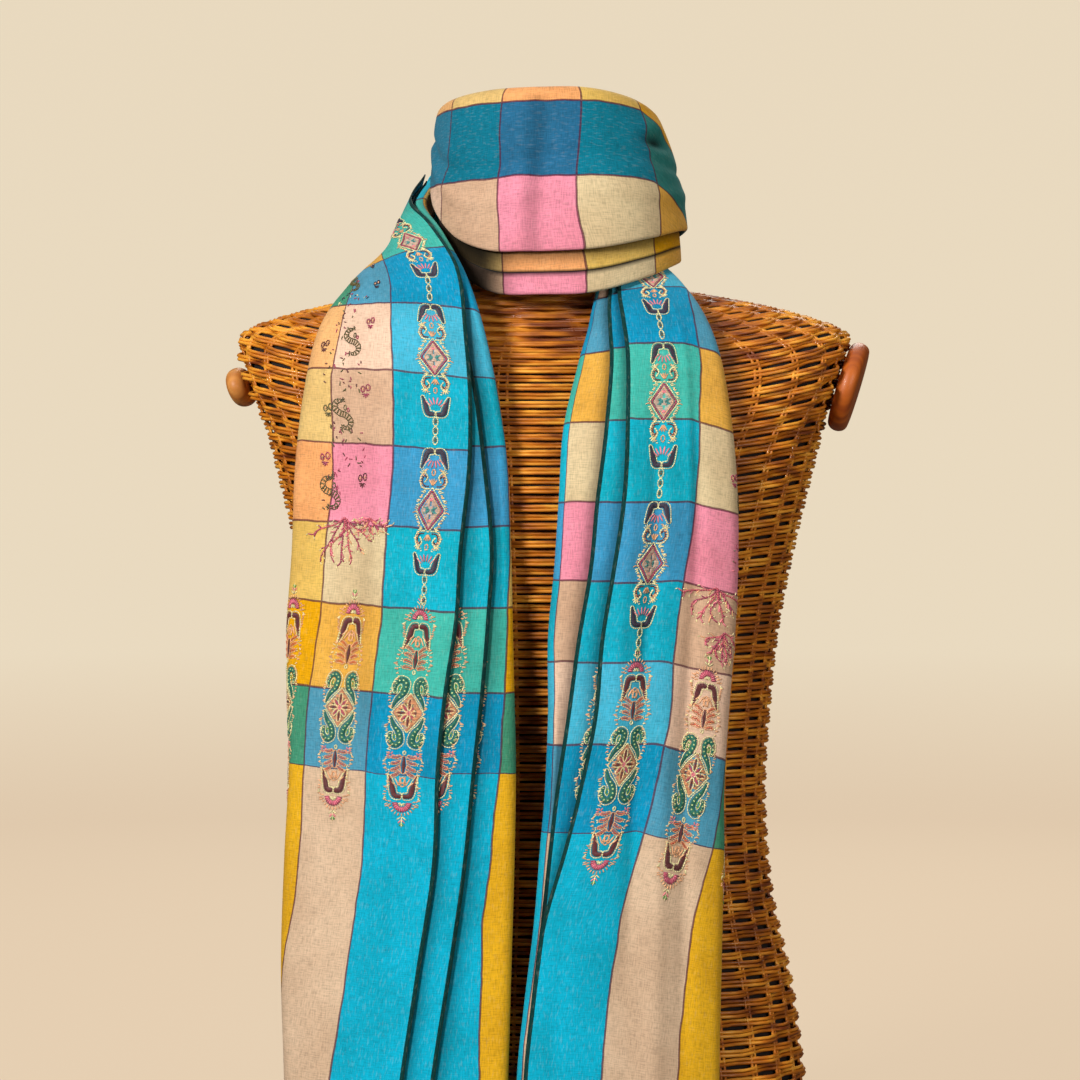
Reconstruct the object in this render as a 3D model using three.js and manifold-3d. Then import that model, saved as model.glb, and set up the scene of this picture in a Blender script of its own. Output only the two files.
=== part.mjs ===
// A checked pashmina shawl, wound once round the neck of a wicker torso form.
// Millimetres, +Z up. The origin is the middle of the form's flat base and the front faces -Y.
// The cloth is one long rectangle, folded lengthwise into six layers. Five stretches of it show:
// left tail, outer loop behind the neck, front band, inner loop behind the neck, right tail.

import * as THREE from 'three';
import Module from 'manifold-3d';
import { mergeVertices } from 'three/addons/utils/BufferGeometryUtils.js';

const wasm = await Module();
wasm.setup();

// ---- driving dimensions ------------------------------------------------------------------

const CLOTH_WALL = 1.1; // thickness of the cloth wall
const LAYERS = 6; // layers that the shawl is folded into
const LEG_STEPS = 4; // flat steps along one layer
const SEAM_GAP = 0.3; // gap between two stretches, and between wood and wicker

const FORM_SIDES = 44; // facets round the torso
const FORM_SQUARENESS = 0.86; // 1 is an ellipse in plan, less is a squarer ring
const FORM_CLIMB = 2.5; // how late a ring climbs on its way out to the shoulder
const ARM_TILT = THREE.MathUtils.degToRad(17); // the arm ends lean in towards the waist
const ARM_TURN = THREE.MathUtils.degToRad(8); // both arm ends are turned a little, as the form is made
const ARM_FLAT_X = 200; // distance of the flat arm end from the middle, at its mid height
const ARM_Z = 576; // mid height of the arm end
const ARM_CAPS = {
  left: { height: 27, depth: 46, thickness: 13, rim: 2.5, sides: 28 }, // a small stub
  right: { height: 61, depth: 72, thickness: 10, rim: 2.5, sides: 28 },
};
const ARM_SLAB = { below: 37, above: 80, reach: 100 }; // what is cut away outside the arm end
const NECK_TOP_Z = 728;
const NECK_CAP = { radius: 46, thickness: 12, rim: 3, sides: 32 };
const RIPPLE = { height: 2.4, drift: 900 }; // one soft lengthwise wave across a tail; it shifts with height

// Rings of the torso, from the base up. Above the chest the rings climb outwards over the
// shoulders: front is a ring's height at the breast bone, side its height over the shoulder.
const FORM_RINGS = [
  { front: 0, side: 0, half: 171, chest: 104, back: 106 },
  { front: 30, side: 30, half: 178, chest: 108, back: 111 },
  { front: 72, side: 72, half: 181, chest: 110, back: 113 },
  { front: 122, side: 122, half: 176, chest: 107, back: 109 },
  { front: 172, side: 172, half: 169, chest: 101, back: 99 },
  { front: 232, side: 232, half: 156, chest: 93, back: 85 },
  { front: 296, side: 296, half: 151, chest: 89, back: 77 },
  { front: 352, side: 354, half: 154, chest: 93, back: 79 },
  { front: 406, side: 410, half: 160, chest: 100, back: 84 },
  { front: 452, side: 462, half: 170, chest: 107, back: 91 },
  { front: 494, side: 512, half: 182, chest: 110, back: 96 },
  { front: 524, side: 545, half: 191, chest: 107, back: 98 },
  { front: 546, side: 574, half: 205, chest: 101, back: 96 },
  { front: 566, side: 597, half: 211, chest: 93, back: 91 },
  { front: 582, side: 611, half: 206, chest: 84, back: 84 },
  { front: 597, side: 620, half: 184, chest: 75, back: 76 },
  { front: 610, side: 628, half: 154, chest: 66, back: 67 },
  { front: 622, side: 634, half: 122, chest: 58, back: 60 },
  { front: 634, side: 640, half: 88, chest: 52, back: 54 },
  { front: 646, side: 648, half: 60, chest: 48, back: 50 },
  { front: 662, side: 662, half: 49, chest: 46, back: 48 },
  { front: 695, side: 695, half: 47, chest: 45, back: 46 },
  { front: NECK_TOP_Z, side: NECK_TOP_Z, half: 47, chest: 45, back: 46 },
];

// The left tail, hem to neck. outer is its left fold, inner its right fold, both on the side
// that faces the body. free0 and free1 are where the two selvedges lie, as shares of the width.
const LEFT_TAIL = [
  { outer: [-166, -78, 75], inner: [-25, -119, 75], depth: 16, crown: 11, free0: 0.5, free1: 0.62 },
  { outer: [-167, -78, 123], inner: [-23, -119, 123], depth: 16, crown: 12, free0: 0.52, free1: 0.65 },
  { outer: [-169, -78, 193], inner: [-21, -119, 193], depth: 16, crown: 13, free0: 0.59, free1: 0.72 },
  { outer: [-167, -77, 262], inner: [-19, -118, 262], depth: 16, crown: 13, free0: 0.65, free1: 0.77 },
  { outer: [-164, -76, 322], inner: [-18, -118, 322], depth: 16, crown: 13, free0: 0.66, free1: 0.8 },
  { outer: [-165, -75, 373], inner: [-19, -117, 373], depth: 16, crown: 14, free0: 0.7, free1: 0.84 },
  { outer: [-165, -74, 419], inner: [-20, -117, 419], depth: 16, crown: 14, free0: 0.75, free1: 0.87 },
  { outer: [-162, -74, 464], inner: [-21, -117, 464], depth: 16, crown: 14, free0: 0.77, free1: 0.89 },
  { outer: [-160, -76, 515], inner: [-23, -116, 515], depth: 16, crown: 13, free0: 0.81, free1: 0.87 },
  { outer: [-155, -77, 562], inner: [-29, -112, 560], depth: 15, crown: 11, free0: 0.84, free1: 0.86 },
  { outer: [-146, -65, 603], inner: [-38, -101, 602], depth: 14, crown: 9, free0: 0.87, free1: 0.84 },
  { outer: [-129, -43, 628], inner: [-50, -82, 640], depth: 13, crown: 6, free0: 0.93, free1: 0.84 },
  { outer: [-109, -11, 648], inner: [-66, -54, 672], depth: 12, crown: 4, free0: 0.96, free1: 0.85 },
  { outer: [-95, 14, 654], inner: [-79, -13, 697], depth: 12, crown: 3, free0: 0.97, free1: 0.86 },
  { outer: [-84, 40, 657], inner: [-71, 26, 720], depth: 12, crown: 2, free0: 0.98, free1: 0.87 },
];

// The right tail, hem to neck, in the same columns. Its outer fold is on the right.
const RIGHT_TAIL = [
  { outer: [110, -94, 37], inner: [-21, -122, 37], depth: 16, crown: 8, free0: 0.985, free1: 0.96 },
  { outer: [110, -93, 123], inner: [-19, -122, 123], depth: 16, crown: 9, free0: 0.98, free1: 0.95 },
  { outer: [111, -92, 175], inner: [-14, -121, 175], depth: 16, crown: 9, free0: 0.96, free1: 0.95 },
  { outer: [112, -92, 225], inner: [-8, -121, 225], depth: 16, crown: 10, free0: 0.95, free1: 0.95 },
  { outer: [113, -91, 274], inner: [-4, -120, 274], depth: 16, crown: 10, free0: 0.87, free1: 0.94 },
  { outer: [113, -91, 310], inner: [-1, -120, 310], depth: 16, crown: 10, free0: 0.82, free1: 0.93 },
  { outer: [116, -90, 359], inner: [1, -120, 359], depth: 16, crown: 11, free0: 0.76, free1: 0.89 },
  { outer: [120, -90, 407], inner: [1, -119, 407], depth: 16, crown: 11, free0: 0.73, free1: 0.84 },
  { outer: [122, -91, 452], inner: [5, -119, 452], depth: 16, crown: 11, free0: 0.7, free1: 0.81 },
  { outer: [122, -94, 496], inner: [8, -118, 496], depth: 16, crown: 11, free0: 0.66, free1: 0.79 },
  { outer: [119, -94, 540], inner: [11, -115, 540], depth: 15, crown: 10, free0: 0.64, free1: 0.75 },
  { outer: [113, -84, 581], inner: [20, -105, 579], depth: 14, crown: 8, free0: 0.67, free1: 0.77 },
  { outer: [105, -67, 608], inner: [27, -90, 603], depth: 12, crown: 6, free0: 0.72, free1: 0.82 },
  { outer: [95, -50, 628], inner: [31, -71, 621], depth: 10, crown: 4, free0: 0.74, free1: 0.83 },
  { outer: [83, -32, 643], inner: [35, -59, 643], depth: 9, crown: 2, free0: 0.78, free1: 0.86 },
  { outer: [68, -18, 655], inner: [40, -46, 672], depth: 9, crown: 1, free0: 0.84, free1: 0.88 },
  { outer: [56, -5, 661], inner: [55, -8, 706], depth: 11, crown: 1, free0: 0.88, free1: 0.9 },
];

// The two loops and the band are one spiral round the neck. turn is in degrees: 90 is the left
// side, 180 the back, 270 the right side, 360 the throat, and so on. low and high are the edge
// heights, lowR and highR their distances from the neck's axis on the side that faces the neck.
const SPIRAL = [
  { turn: 115, low: 657, high: 722, lowR: 93, highR: 76, depth: 12, crown: 2 },
  { turn: 145, low: 656, high: 740, lowR: 84, highR: 74, depth: 14, crown: 3 },
  { turn: 180, low: 655, high: 749, lowR: 79, highR: 72, depth: 15, crown: 4 },
  { turn: 215, low: 656, high: 752, lowR: 79, highR: 70, depth: 15, crown: 4 },
  { turn: 245, low: 656, high: 752, lowR: 81, highR: 66, depth: 15, crown: 4 },
  { turn: 270, low: 657, high: 753, lowR: 83, highR: 62, depth: 15, crown: 5 },
  { turn: 292, low: 652, high: 758, lowR: 85, highR: 62, depth: 15, crown: 5 },
  { turn: 316, low: 641, high: 763, lowR: 85, highR: 64, depth: 15, crown: 4 },
  { turn: 340, low: 631, high: 766, lowR: 82, highR: 66, depth: 15, crown: 3 },
  { turn: 360, low: 630, high: 766, lowR: 76, highR: 66, depth: 15, crown: 3 },
  { turn: 384, low: 632, high: 766, lowR: 70, highR: 64, depth: 15, crown: 3 },
  { turn: 405, low: 645, high: 765, lowR: 69, highR: 62, depth: 14, crown: 3 },
  { turn: 425, low: 672, high: 764, lowR: 68, highR: 60, depth: 13, crown: 3 },
  { turn: 445, low: 706, high: 763, lowR: 64, highR: 59, depth: 12, crown: 3 },
  { turn: 465, low: 705, high: 763, lowR: 59, highR: 57, depth: 11, crown: 2 },
  { turn: 500, low: 684, high: 760, lowR: 56, highR: 55, depth: 11, crown: 1 },
  { turn: 540, low: 670, high: 750, lowR: 55, highR: 54, depth: 11, crown: 1 },
  { turn: 585, low: 664, high: 734, lowR: 55, highR: 54, depth: 11, crown: 1 },
  { turn: 623, low: 661, high: 712, lowR: 56, highR: 55, depth: 11, crown: 1 },
];
const SPIRAL_SEAMS = { start: 115, bandStart: 276, bandEnd: 463, end: 622 };
const SPIRAL_STEP = 15; // degrees of turn between two sections
const WRAP_RADIUS = 75; // mean radius of the wrap, which turns a seam gap into degrees

// How a tail is folded: legs in the order of the cloth, each in a layer (0 faces the front) and
// running between two shares of the width. "free0" and "free1" are the selvedges.
const TAIL_LEGS = [
  { layer: 0, from: 'free0', to: 'outer' },
  { layer: 5, from: 'outer', to: 'inner' },
  { layer: 2, from: 'inner', to: 'outer' },
  { layer: 3, from: 'outer', to: 0.72 },
  { layer: 4, from: 0.72, to: 'outer' },
  { layer: 1, from: 'outer', to: 'free1' },
];

// How the loops and the band are folded. Layer 0 faces outwards and 0 is the lower edge. The
// upper band ends in a fold a fifth of the way up, and the lower roll hangs out below it.
const BAND_LEGS = [
  { layer: 5, from: 0.12, to: 'inner' },
  { layer: 0, from: 'inner', to: 0.2 },
  { layer: 1, from: 0.2, to: 0.34 },
  { layer: 2, from: 0.34, to: 'outer' },
  { layer: 3, from: 'outer', to: 0.92 },
  { layer: 4, from: 0.92, to: 0.14 },
];

// ---- small helpers -----------------------------------------------------------------------

const lerp = THREE.MathUtils.lerp;

/** Smooth value of a table's column, a share t of the way from one row to the next. */
function column(rows, name, row, t) {
  const value = (i) => rows[Math.min(Math.max(i, 0), rows.length - 1)][name];
  const [a, b, c, d] = [value(row - 1), value(row), value(row + 1), value(row + 2)];
  const rise0 = row > 0 ? (c - a) / 2 : c - b;
  const rise1 = row + 2 < rows.length ? (d - b) / 2 : c - b;
  const t2 = t * t;
  const t3 = t2 * t;
  return (2 * t3 - 3 * t2 + 1) * b + (t3 - 2 * t2 + t) * rise0
    + (3 * t2 - 2 * t3) * c + (t3 - t2) * rise1;
}

/** All columns of a table at a value of its key column, which rises from row to row. */
function rowAt(rows, key, value) {
  const next = rows.findIndex((r) => r[key] >= value);
  const row = Math.min(Math.max(next - 1, 0), rows.length - 2);
  const t = (value - rows[row][key]) / (rows[row + 1][key] - rows[row][key]);
  return Object.fromEntries(Object.keys(rows[0]).map((name) => [name, column(rows, name, row, t)]));
}

/** Closed body from rings of points that all have the same count, with caps made of quads. */
function loft(rings, capPairs) {
  const count = rings[0].length;
  const index = [];
  for (let i = 0; i + 1 < rings.length; i += 1) {
    for (let j = 0; j < count; j += 1) {
      const a = i * count + j;
      const b = i * count + ((j + 1) % count);
      index.push(a, b, b + count, a, b + count, a + count);
    }
  }
  const last = (rings.length - 1) * count;
  for (const [a, b, c, d] of capPairs) {
    index.push(a, c, b, a, d, c);
    index.push(last + a, last + b, last + c, last + a, last + c, last + d);
  }
  const geometry = new THREE.BufferGeometry();
  geometry.setAttribute('position', new THREE.Float32BufferAttribute(rings.flat(2), 3));
  geometry.setIndex(index);
  return outward(geometry);
}

/** Turns a closed body's faces outwards, if its volume says that they point in. */
function outward(geometry) {
  const p = geometry.getAttribute('position');
  const index = geometry.getIndex().array;
  const [a, b, c] = [new THREE.Vector3(), new THREE.Vector3(), new THREE.Vector3()];
  let volume = 0;
  for (let i = 0; i < index.length; i += 3) {
    a.fromBufferAttribute(p, index[i]);
    b.fromBufferAttribute(p, index[i + 1]);
    c.fromBufferAttribute(p, index[i + 2]);
    volume += a.dot(b.cross(c));
  }
  if (volume < 0) {
    for (let i = 0; i < index.length; i += 3) [index[i + 1], index[i + 2]] = [index[i + 2], index[i + 1]];
  }
  return geometry;
}

// ---- folded cloth ------------------------------------------------------------------------

/** The folded section as a line of [share of width, share of depth] points. */
function foldedLine(legs, section, width) {
  const pitch = section.depth / (LAYERS - 1);
  const reach = (span) => (span * pitch) / 2 / width;
  const ends = legs.map((leg) => [edgeShare(leg.from, section), edgeShare(leg.to, section)]);
  const spans = legs.slice(1).map((leg, i) => Math.abs(leg.layer - legs[i].layer));
  const line = [];
  let from = ends[0][0];
  legs.forEach((leg, i) => {
    const height = 1 - leg.layer / (LAYERS - 1);
    const next = legs[i + 1];
    if (!next) {
      for (let k = 0; k <= LEG_STEPS; k += 1) line.push([lerp(from, ends[i][1], k / LEG_STEPS), height]);
      return;
    }
    const way = Math.sign(ends[i][1] - ends[i][0]);
    const widest = Math.max(...spans.filter((span, j) => legs[j].to === leg.to));
    const centre = ends[i][1] - way * reach(widest);
    for (let k = 0; k <= LEG_STEPS; k += 1) line.push([lerp(from, centre, k / LEG_STEPS), height]);
    const steps = spans[i] > 2 ? 5 : 3;
    const middle = 1 - (leg.layer + next.layer) / 2 / (LAYERS - 1);
    const half = (next.layer - leg.layer) / 2 / (LAYERS - 1);
    for (let k = 1; k < steps; k += 1) {
      const angle = (Math.PI * k) / steps;
      line.push([centre + way * reach(spans[i]) * Math.sin(angle), middle + half * Math.cos(angle)]);
    }
    from = centre;
  });
  return line;
}

/** Where an edge lies across the section, as a share of its width. */
function edgeShare(edge, section) {
  if (edge === 'outer') return 0;
  if (edge === 'inner') return 1;
  return typeof edge === 'string' ? section[edge] : edge;
}

/** One stretch of folded cloth: a wall of even thickness along the folded line, lofted. */
function foldedCloth(sections, legs) {
  const middles = sections.map((s) => new THREE.Vector3().fromArray(s.outer)
    .lerp(new THREE.Vector3().fromArray(s.inner), 0.5));
  const rings = sections.map((section, i) => {
    const outer = new THREE.Vector3().fromArray(section.outer);
    const across = new THREE.Vector3().fromArray(section.inner).sub(outer);
    const width = across.length();
    across.normalize();
    const before = middles[Math.max(i - 1, 0)];
    const after = middles[Math.min(i + 1, middles.length - 1)];
    const along = after.clone().sub(before).normalize();
    const normal = section.facing === 'left' ? across.clone().cross(along) : along.clone().cross(across);
    normal.normalize();
    const line = foldedLine(legs, section, width)
      .map(([share, level]) => new THREE.Vector2(share * width,
        level * section.depth + 4 * section.crown * share * (1 - share) + ripple(section, share)));
    const place = (p) => outer.clone().addScaledVector(across, p.x).addScaledVector(normal, p.y).toArray();
    const front = offsetLine(line, CLOTH_WALL / 2).map(place);
    const rear = offsetLine(line, -CLOTH_WALL / 2).map(place);
    return front.concat(rear.reverse());
  });
  const count = rings[0].length;
  const caps = [];
  for (let j = 0; j + 1 < count / 2; j += 1) caps.push([j, j + 1, count - 2 - j, count - 1 - j]);
  return loft(rings, caps);
}

/** A soft wave that runs down a tail and dies out at its folds and towards the neck. */
function ripple(section, share) {
  if (section.free0 === undefined) return 0;
  const height = RIPPLE.height * Math.min(1, Math.max(0, (620 - section.outer[2]) / 100));
  return height * Math.sin(Math.PI * share) * Math.sin(2 * Math.PI * (share + section.outer[2] / RIPPLE.drift));
}

/** A line of 2D points moved sideways by a distance, mitred at its corners. */
function offsetLine(line, distance) {
  return line.map((p, i) => {
    const into = i > 0 ? p.clone().sub(line[i - 1]).normalize() : null;
    const out = i + 1 < line.length ? line[i + 1].clone().sub(p).normalize() : null;
    const a = into ?? out;
    const b = out ?? into;
    const side = new THREE.Vector2(-(a.y + b.y), a.x + b.x).normalize();
    const mitre = Math.max(side.dot(new THREE.Vector2(-a.y, a.x)), 0.6);
    return p.clone().addScaledVector(side, distance / mitre);
  });
}

function tailSections(rows, facing) {
  return rows.map((row) => ({ ...row, facing }));
}

/** A spiral row as a section, between two turns. */
function spiralSections(fromTurn, toTurn) {
  const steps = Math.round((toTurn - fromTurn) / SPIRAL_STEP);
  const sections = [];
  for (let k = 0; k <= steps; k += 1) {
    const turn = lerp(fromTurn, toTurn, k / steps);
    const s = rowAt(SPIRAL, 'turn', turn);
    const angle = THREE.MathUtils.degToRad(turn);
    const point = (radius, z) => [-radius * Math.sin(angle), -radius * Math.cos(angle), z];
    sections.push({ ...s, outer: point(s.lowR, s.low), inner: point(s.highR, s.high), facing: 'left' });
  }
  return sections;
}

// ---- the form ----------------------------------------------------------------------------

function formPoint(ring, angle) {
  const c = Math.cos(angle);
  const s = Math.sin(angle);
  const square = (v) => Math.sign(v) * Math.abs(v) ** FORM_SQUARENESS;
  const depth = s < 0 ? ring.chest : ring.back;
  const climb = Math.abs(c) ** FORM_CLIMB;
  return [ring.half * square(c), depth * square(s), lerp(ring.front, ring.side, climb)];
}

function formTorso() {
  const angles = Array.from({ length: FORM_SIDES }, (_, k) => (2 * Math.PI * k) / FORM_SIDES);
  const rings = FORM_RINGS.map((ring) => angles.map((angle) => formPoint(ring, angle)));
  const caps = [];
  for (let j = 0; j + 1 < FORM_SIDES / 2; j += 1) caps.push([j, j + 1, FORM_SIDES - 2 - j, FORM_SIDES - 1 - j]);
  let body = solid(loft(rings, caps));
  for (const side of [-1, 1]) body = body.subtract(solid(armSlab(side)));
  return geometryOf(body);
}

/** Everything outside the flat arm end, as a block to cut away. */
function armSlab(side) {
  const { below, above, reach } = ARM_SLAB;
  const block = new THREE.BoxGeometry(reach, 2 * reach, below + above);
  block.translate(reach / 2, 0, (above - below) / 2);
  return placeAtArm(block, side);
}

function placeAtArm(geometry, side) {
  geometry.rotateY(ARM_TILT);
  geometry.rotateZ(-ARM_TURN);
  geometry.translate(ARM_FLAT_X, 0, ARM_Z);
  if (side < 0) geometry.rotateZ(Math.PI);
  return geometry;
}

function armCap(side) {
  const { height, depth, thickness, rim, sides } = side < 0 ? ARM_CAPS.left : ARM_CAPS.right;
  const profile = [[0, 0], [1 - rim / height, 0], [1, rim], [1, thickness - rim],
    [1 - (2 * rim) / height, thickness], [0, thickness]];
  const cap = new THREE.LatheGeometry(profile.map(([r, z]) => new THREE.Vector2(r, z)), sides);
  cap.scale(height / 2, 1, depth / 2);
  cap.rotateZ(-Math.PI / 2);
  cap.rotateX(Math.PI / 2);
  cap.translate(SEAM_GAP, 0, 0);
  return clean(placeAtArm(cap, side));
}

function neckCap() {
  const { radius, thickness, rim, sides } = NECK_CAP;
  const low = NECK_TOP_Z + SEAM_GAP;
  const profile = [[0, low], [radius - rim, low], [radius, low + rim],
    [radius, low + thickness - rim], [radius - rim, low + thickness], [0, low + thickness]];
  const cap = new THREE.LatheGeometry(profile.map(([r, z]) => new THREE.Vector2(r, z)), sides);
  cap.rotateX(Math.PI / 2);
  return clean(cap);
}

function clean(geometry) {
  geometry.deleteAttribute('normal');
  geometry.deleteAttribute('uv');
  const merged = mergeVertices(geometry, 1e-4);
  const index = Array.from(merged.getIndex().array);
  const kept = [];
  for (let i = 0; i < index.length; i += 3) {
    const [a, b, c] = index.slice(i, i + 3);
    if (a !== b && b !== c && c !== a) kept.push(a, b, c);
  }
  merged.setIndex(kept);
  return outward(merged);
}

function solid(geometry) {
  const body = clean(geometry);
  return new wasm.Manifold(new wasm.Mesh({
    numProp: 3,
    vertProperties: new Float32Array(body.getAttribute('position').array),
    triVerts: new Uint32Array(body.getIndex().array),
  }));
}

function geometryOf(manifold) {
  const mesh = manifold.getMesh();
  const geometry = new THREE.BufferGeometry();
  geometry.setAttribute('position', new THREE.BufferAttribute(new Float32Array(mesh.vertProperties), 3));
  geometry.setIndex(new THREE.BufferAttribute(new Uint32Array(mesh.triVerts), 1));
  return geometry;
}

// ---- the object --------------------------------------------------------------------------

const cloth = (color) => new THREE.MeshStandardMaterial({ color, roughness: 0.85, metalness: 0, side: THREE.DoubleSide });
const wicker = new THREE.MeshStandardMaterial({ color: 0xb8742c, roughness: 0.55, metalness: 0 });
const wood = () => new THREE.MeshStandardMaterial({ color: 0x9c5622, roughness: 0.35, metalness: 0 });

const group = new THREE.Group();

function add(name, geometry, material) {
  const mesh = new THREE.Mesh(geometry, material);
  mesh.name = name;
  group.add(mesh);
}

add('form_torso', formTorso(), wicker);
add('form_arm_cap_left', armCap(-1), wood());
add('form_arm_cap_right', armCap(1), wood());
add('form_neck_cap', neckCap(), wood());
add('shawl_tail_left', foldedCloth(tailSections(LEFT_TAIL, 'left'), TAIL_LEGS), cloth(0x2a9dc4));
add('shawl_tail_right', foldedCloth(tailSections(RIGHT_TAIL, 'right'), TAIL_LEGS), cloth(0x3aa6c0));

const halfGap = THREE.MathUtils.radToDeg(SEAM_GAP / 2 / WRAP_RADIUS);
const { start, bandStart, bandEnd, end } = SPIRAL_SEAMS;
add('shawl_loop_outer', foldedCloth(spiralSections(start + halfGap, bandStart - halfGap), BAND_LEGS), cloth(0xd8b06a));
add('shawl_band_front', foldedCloth(spiralSections(bandStart + halfGap, bandEnd - halfGap), BAND_LEGS), cloth(0xe6a3b4));
add('shawl_loop_inner', foldedCloth(spiralSections(bandEnd + halfGap, end - halfGap), BAND_LEGS), cloth(0x6fb3a0));

export default group;
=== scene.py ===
"""A checked, embroidered pashmina shawl wound once round the neck of a wicker torso form.

Tables and cloth coordinates are in millimetres and turned into metres when a mesh is made.
Cloth coordinates: u runs across the shawl from its first selvedge, v along it from the left hem.
"""

import math
import random

import bpy
import numpy as np
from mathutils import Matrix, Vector


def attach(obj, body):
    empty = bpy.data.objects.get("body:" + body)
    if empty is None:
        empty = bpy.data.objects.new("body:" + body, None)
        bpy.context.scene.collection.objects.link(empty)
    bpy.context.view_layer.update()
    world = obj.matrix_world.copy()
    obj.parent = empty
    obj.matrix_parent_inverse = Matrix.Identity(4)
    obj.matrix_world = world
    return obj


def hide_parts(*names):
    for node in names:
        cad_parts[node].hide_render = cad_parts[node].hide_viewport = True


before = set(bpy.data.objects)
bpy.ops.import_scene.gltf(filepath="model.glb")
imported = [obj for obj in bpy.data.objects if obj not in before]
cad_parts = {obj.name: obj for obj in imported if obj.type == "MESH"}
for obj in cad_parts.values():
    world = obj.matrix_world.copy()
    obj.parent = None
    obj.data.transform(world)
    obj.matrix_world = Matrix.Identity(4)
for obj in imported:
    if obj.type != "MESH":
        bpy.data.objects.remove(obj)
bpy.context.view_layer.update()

MM = 0.001

# ---- the shawl's measures ----------------------------------------------------------------

WALL = 0.9  # thickness of the shell
LAYERS = 6
CLOTH_WIDTH = 650.0
COLUMN = 50.0  # width of one warp column
ROW = 51.5  # height of one weft row
PANEL = 245.0  # striped panel at each end
ROWS = 31
CLOTH_LENGTH = 2 * PANEL + ROWS * ROW
TAIL_STEPS = 168
FINE_STEPS = 1200  # for measuring the length of a curve
SPIRAL_DEGREES = 2.6  # degrees of turn between two sections

# Tails, hem to neck: outer fold, inner fold, depth of the bundle, crown, and the shares of the
# width at which the first and the second selvedge lie.
LEFT_TAIL = [
    (-166, -78, 75, -25, -119, 75, 16, 11, 0.5, 0.62),
    (-167, -78, 123, -23, -119, 123, 16, 12, 0.52, 0.65),
    (-169, -78, 193, -21, -119, 193, 16, 13, 0.59, 0.72),
    (-167, -77, 262, -19, -118, 262, 16, 13, 0.65, 0.77),
    (-164, -76, 322, -18, -118, 322, 16, 13, 0.66, 0.8),
    (-165, -75, 373, -19, -117, 373, 16, 14, 0.7, 0.84),
    (-165, -74, 419, -20, -117, 419, 16, 14, 0.75, 0.87),
    (-162, -74, 464, -21, -117, 464, 16, 14, 0.77, 0.89),
    (-160, -76, 515, -23, -116, 515, 16, 13, 0.81, 0.87),
    (-155, -77, 562, -29, -112, 560, 15, 11, 0.84, 0.86),
    (-146, -65, 603, -38, -101, 602, 14, 9, 0.87, 0.84),
    (-129, -43, 628, -50, -82, 640, 13, 6, 0.93, 0.84),
    (-109, -11, 648, -66, -54, 672, 12, 4, 0.96, 0.85),
    (-95, 14, 654, -79, -13, 697, 12, 3, 0.97, 0.86),
    (-84, 40, 657, -71, 26, 720, 12, 2, 0.98, 0.87),
]
RIGHT_TAIL = [
    (110, -94, 37, -21, -122, 37, 16, 8, 0.985, 0.96),
    (110, -93, 123, -19, -122, 123, 16, 9, 0.98, 0.95),
    (111, -92, 175, -14, -121, 175, 16, 9, 0.96, 0.95),
    (112, -92, 225, -8, -121, 225, 16, 10, 0.95, 0.95),
    (113, -91, 274, -4, -120, 274, 16, 10, 0.87, 0.94),
    (113, -91, 310, -1, -120, 310, 16, 10, 0.82, 0.93),
    (116, -90, 359, 1, -120, 359, 16, 11, 0.76, 0.89),
    (120, -90, 407, 1, -119, 407, 16, 11, 0.73, 0.84),
    (122, -91, 452, 5, -119, 452, 16, 11, 0.7, 0.81),
    (122, -94, 496, 8, -118, 496, 16, 11, 0.66, 0.79),
    (119, -94, 540, 11, -115, 540, 15, 10, 0.64, 0.75),
    (113, -84, 581, 20, -105, 579, 14, 8, 0.67, 0.77),
    (105, -67, 608, 27, -90, 603, 12, 6, 0.72, 0.82),
    (95, -50, 628, 31, -71, 621, 10, 4, 0.74, 0.83),
    (83, -32, 643, 35, -59, 643, 9, 2, 0.78, 0.86),
    (68, -18, 655, 40, -46, 672, 9, 1, 0.84, 0.88),
    (56, -5, 661, 55, -8, 706, 11, 1, 0.88, 0.9),
]
# The wrap: turn in degrees, heights of its low and high edge, their radii, depth, crown.
SPIRAL = [
    (115, 657, 722, 93, 76, 12, 2),
    (145, 656, 740, 84, 74, 14, 3),
    (180, 655, 749, 79, 72, 15, 4),
    (215, 656, 752, 79, 70, 15, 4),
    (245, 656, 752, 81, 66, 15, 4),
    (270, 657, 753, 83, 62, 15, 5),
    (292, 652, 758, 85, 62, 15, 5),
    (316, 641, 763, 85, 64, 15, 4),
    (340, 631, 766, 82, 66, 15, 3),
    (360, 630, 766, 76, 66, 15, 3),
    (384, 632, 766, 70, 64, 15, 3),
    (405, 645, 765, 69, 62, 14, 3),
    (425, 672, 764, 68, 60, 13, 3),
    (445, 706, 763, 64, 59, 12, 3),
    (465, 705, 763, 59, 57, 11, 2),
    (500, 684, 760, 56, 55, 11, 1),
    (540, 670, 750, 55, 54, 11, 1),
    (585, 664, 734, 55, 54, 11, 1),
    (623, 661, 712, 56, 55, 11, 1),
]
# Added to the selvedges' shares, for the slant of the bundle's front.
LEFT_SHIFT = 0.058
RIGHT_SHIFT = 0.036
# How much further along the cloth a tail is than its middle line, at distances from its hem.
LEFT_SLACK = [
    (0, 0), (300, -1), (352, -4), (404, -4.5), (456, -4), (498, 4), (541, 13), (600, 22), (680, 0),
]
RIGHT_SLACK = [
    (0, 0), (245, -2), (303, -7), (400, -8.5), (451, -7), (502, -5), (554, 2), (679, 0),
]
# How far the rows slant across a tail's front: cloth coordinate u, and the shift along the cloth.
LEFT_SLANT = [(0, 3), (128, -5), (300, 0)]
RIGHT_SLANT = [(45, 0), (128, -17), (300, 0)]
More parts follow.
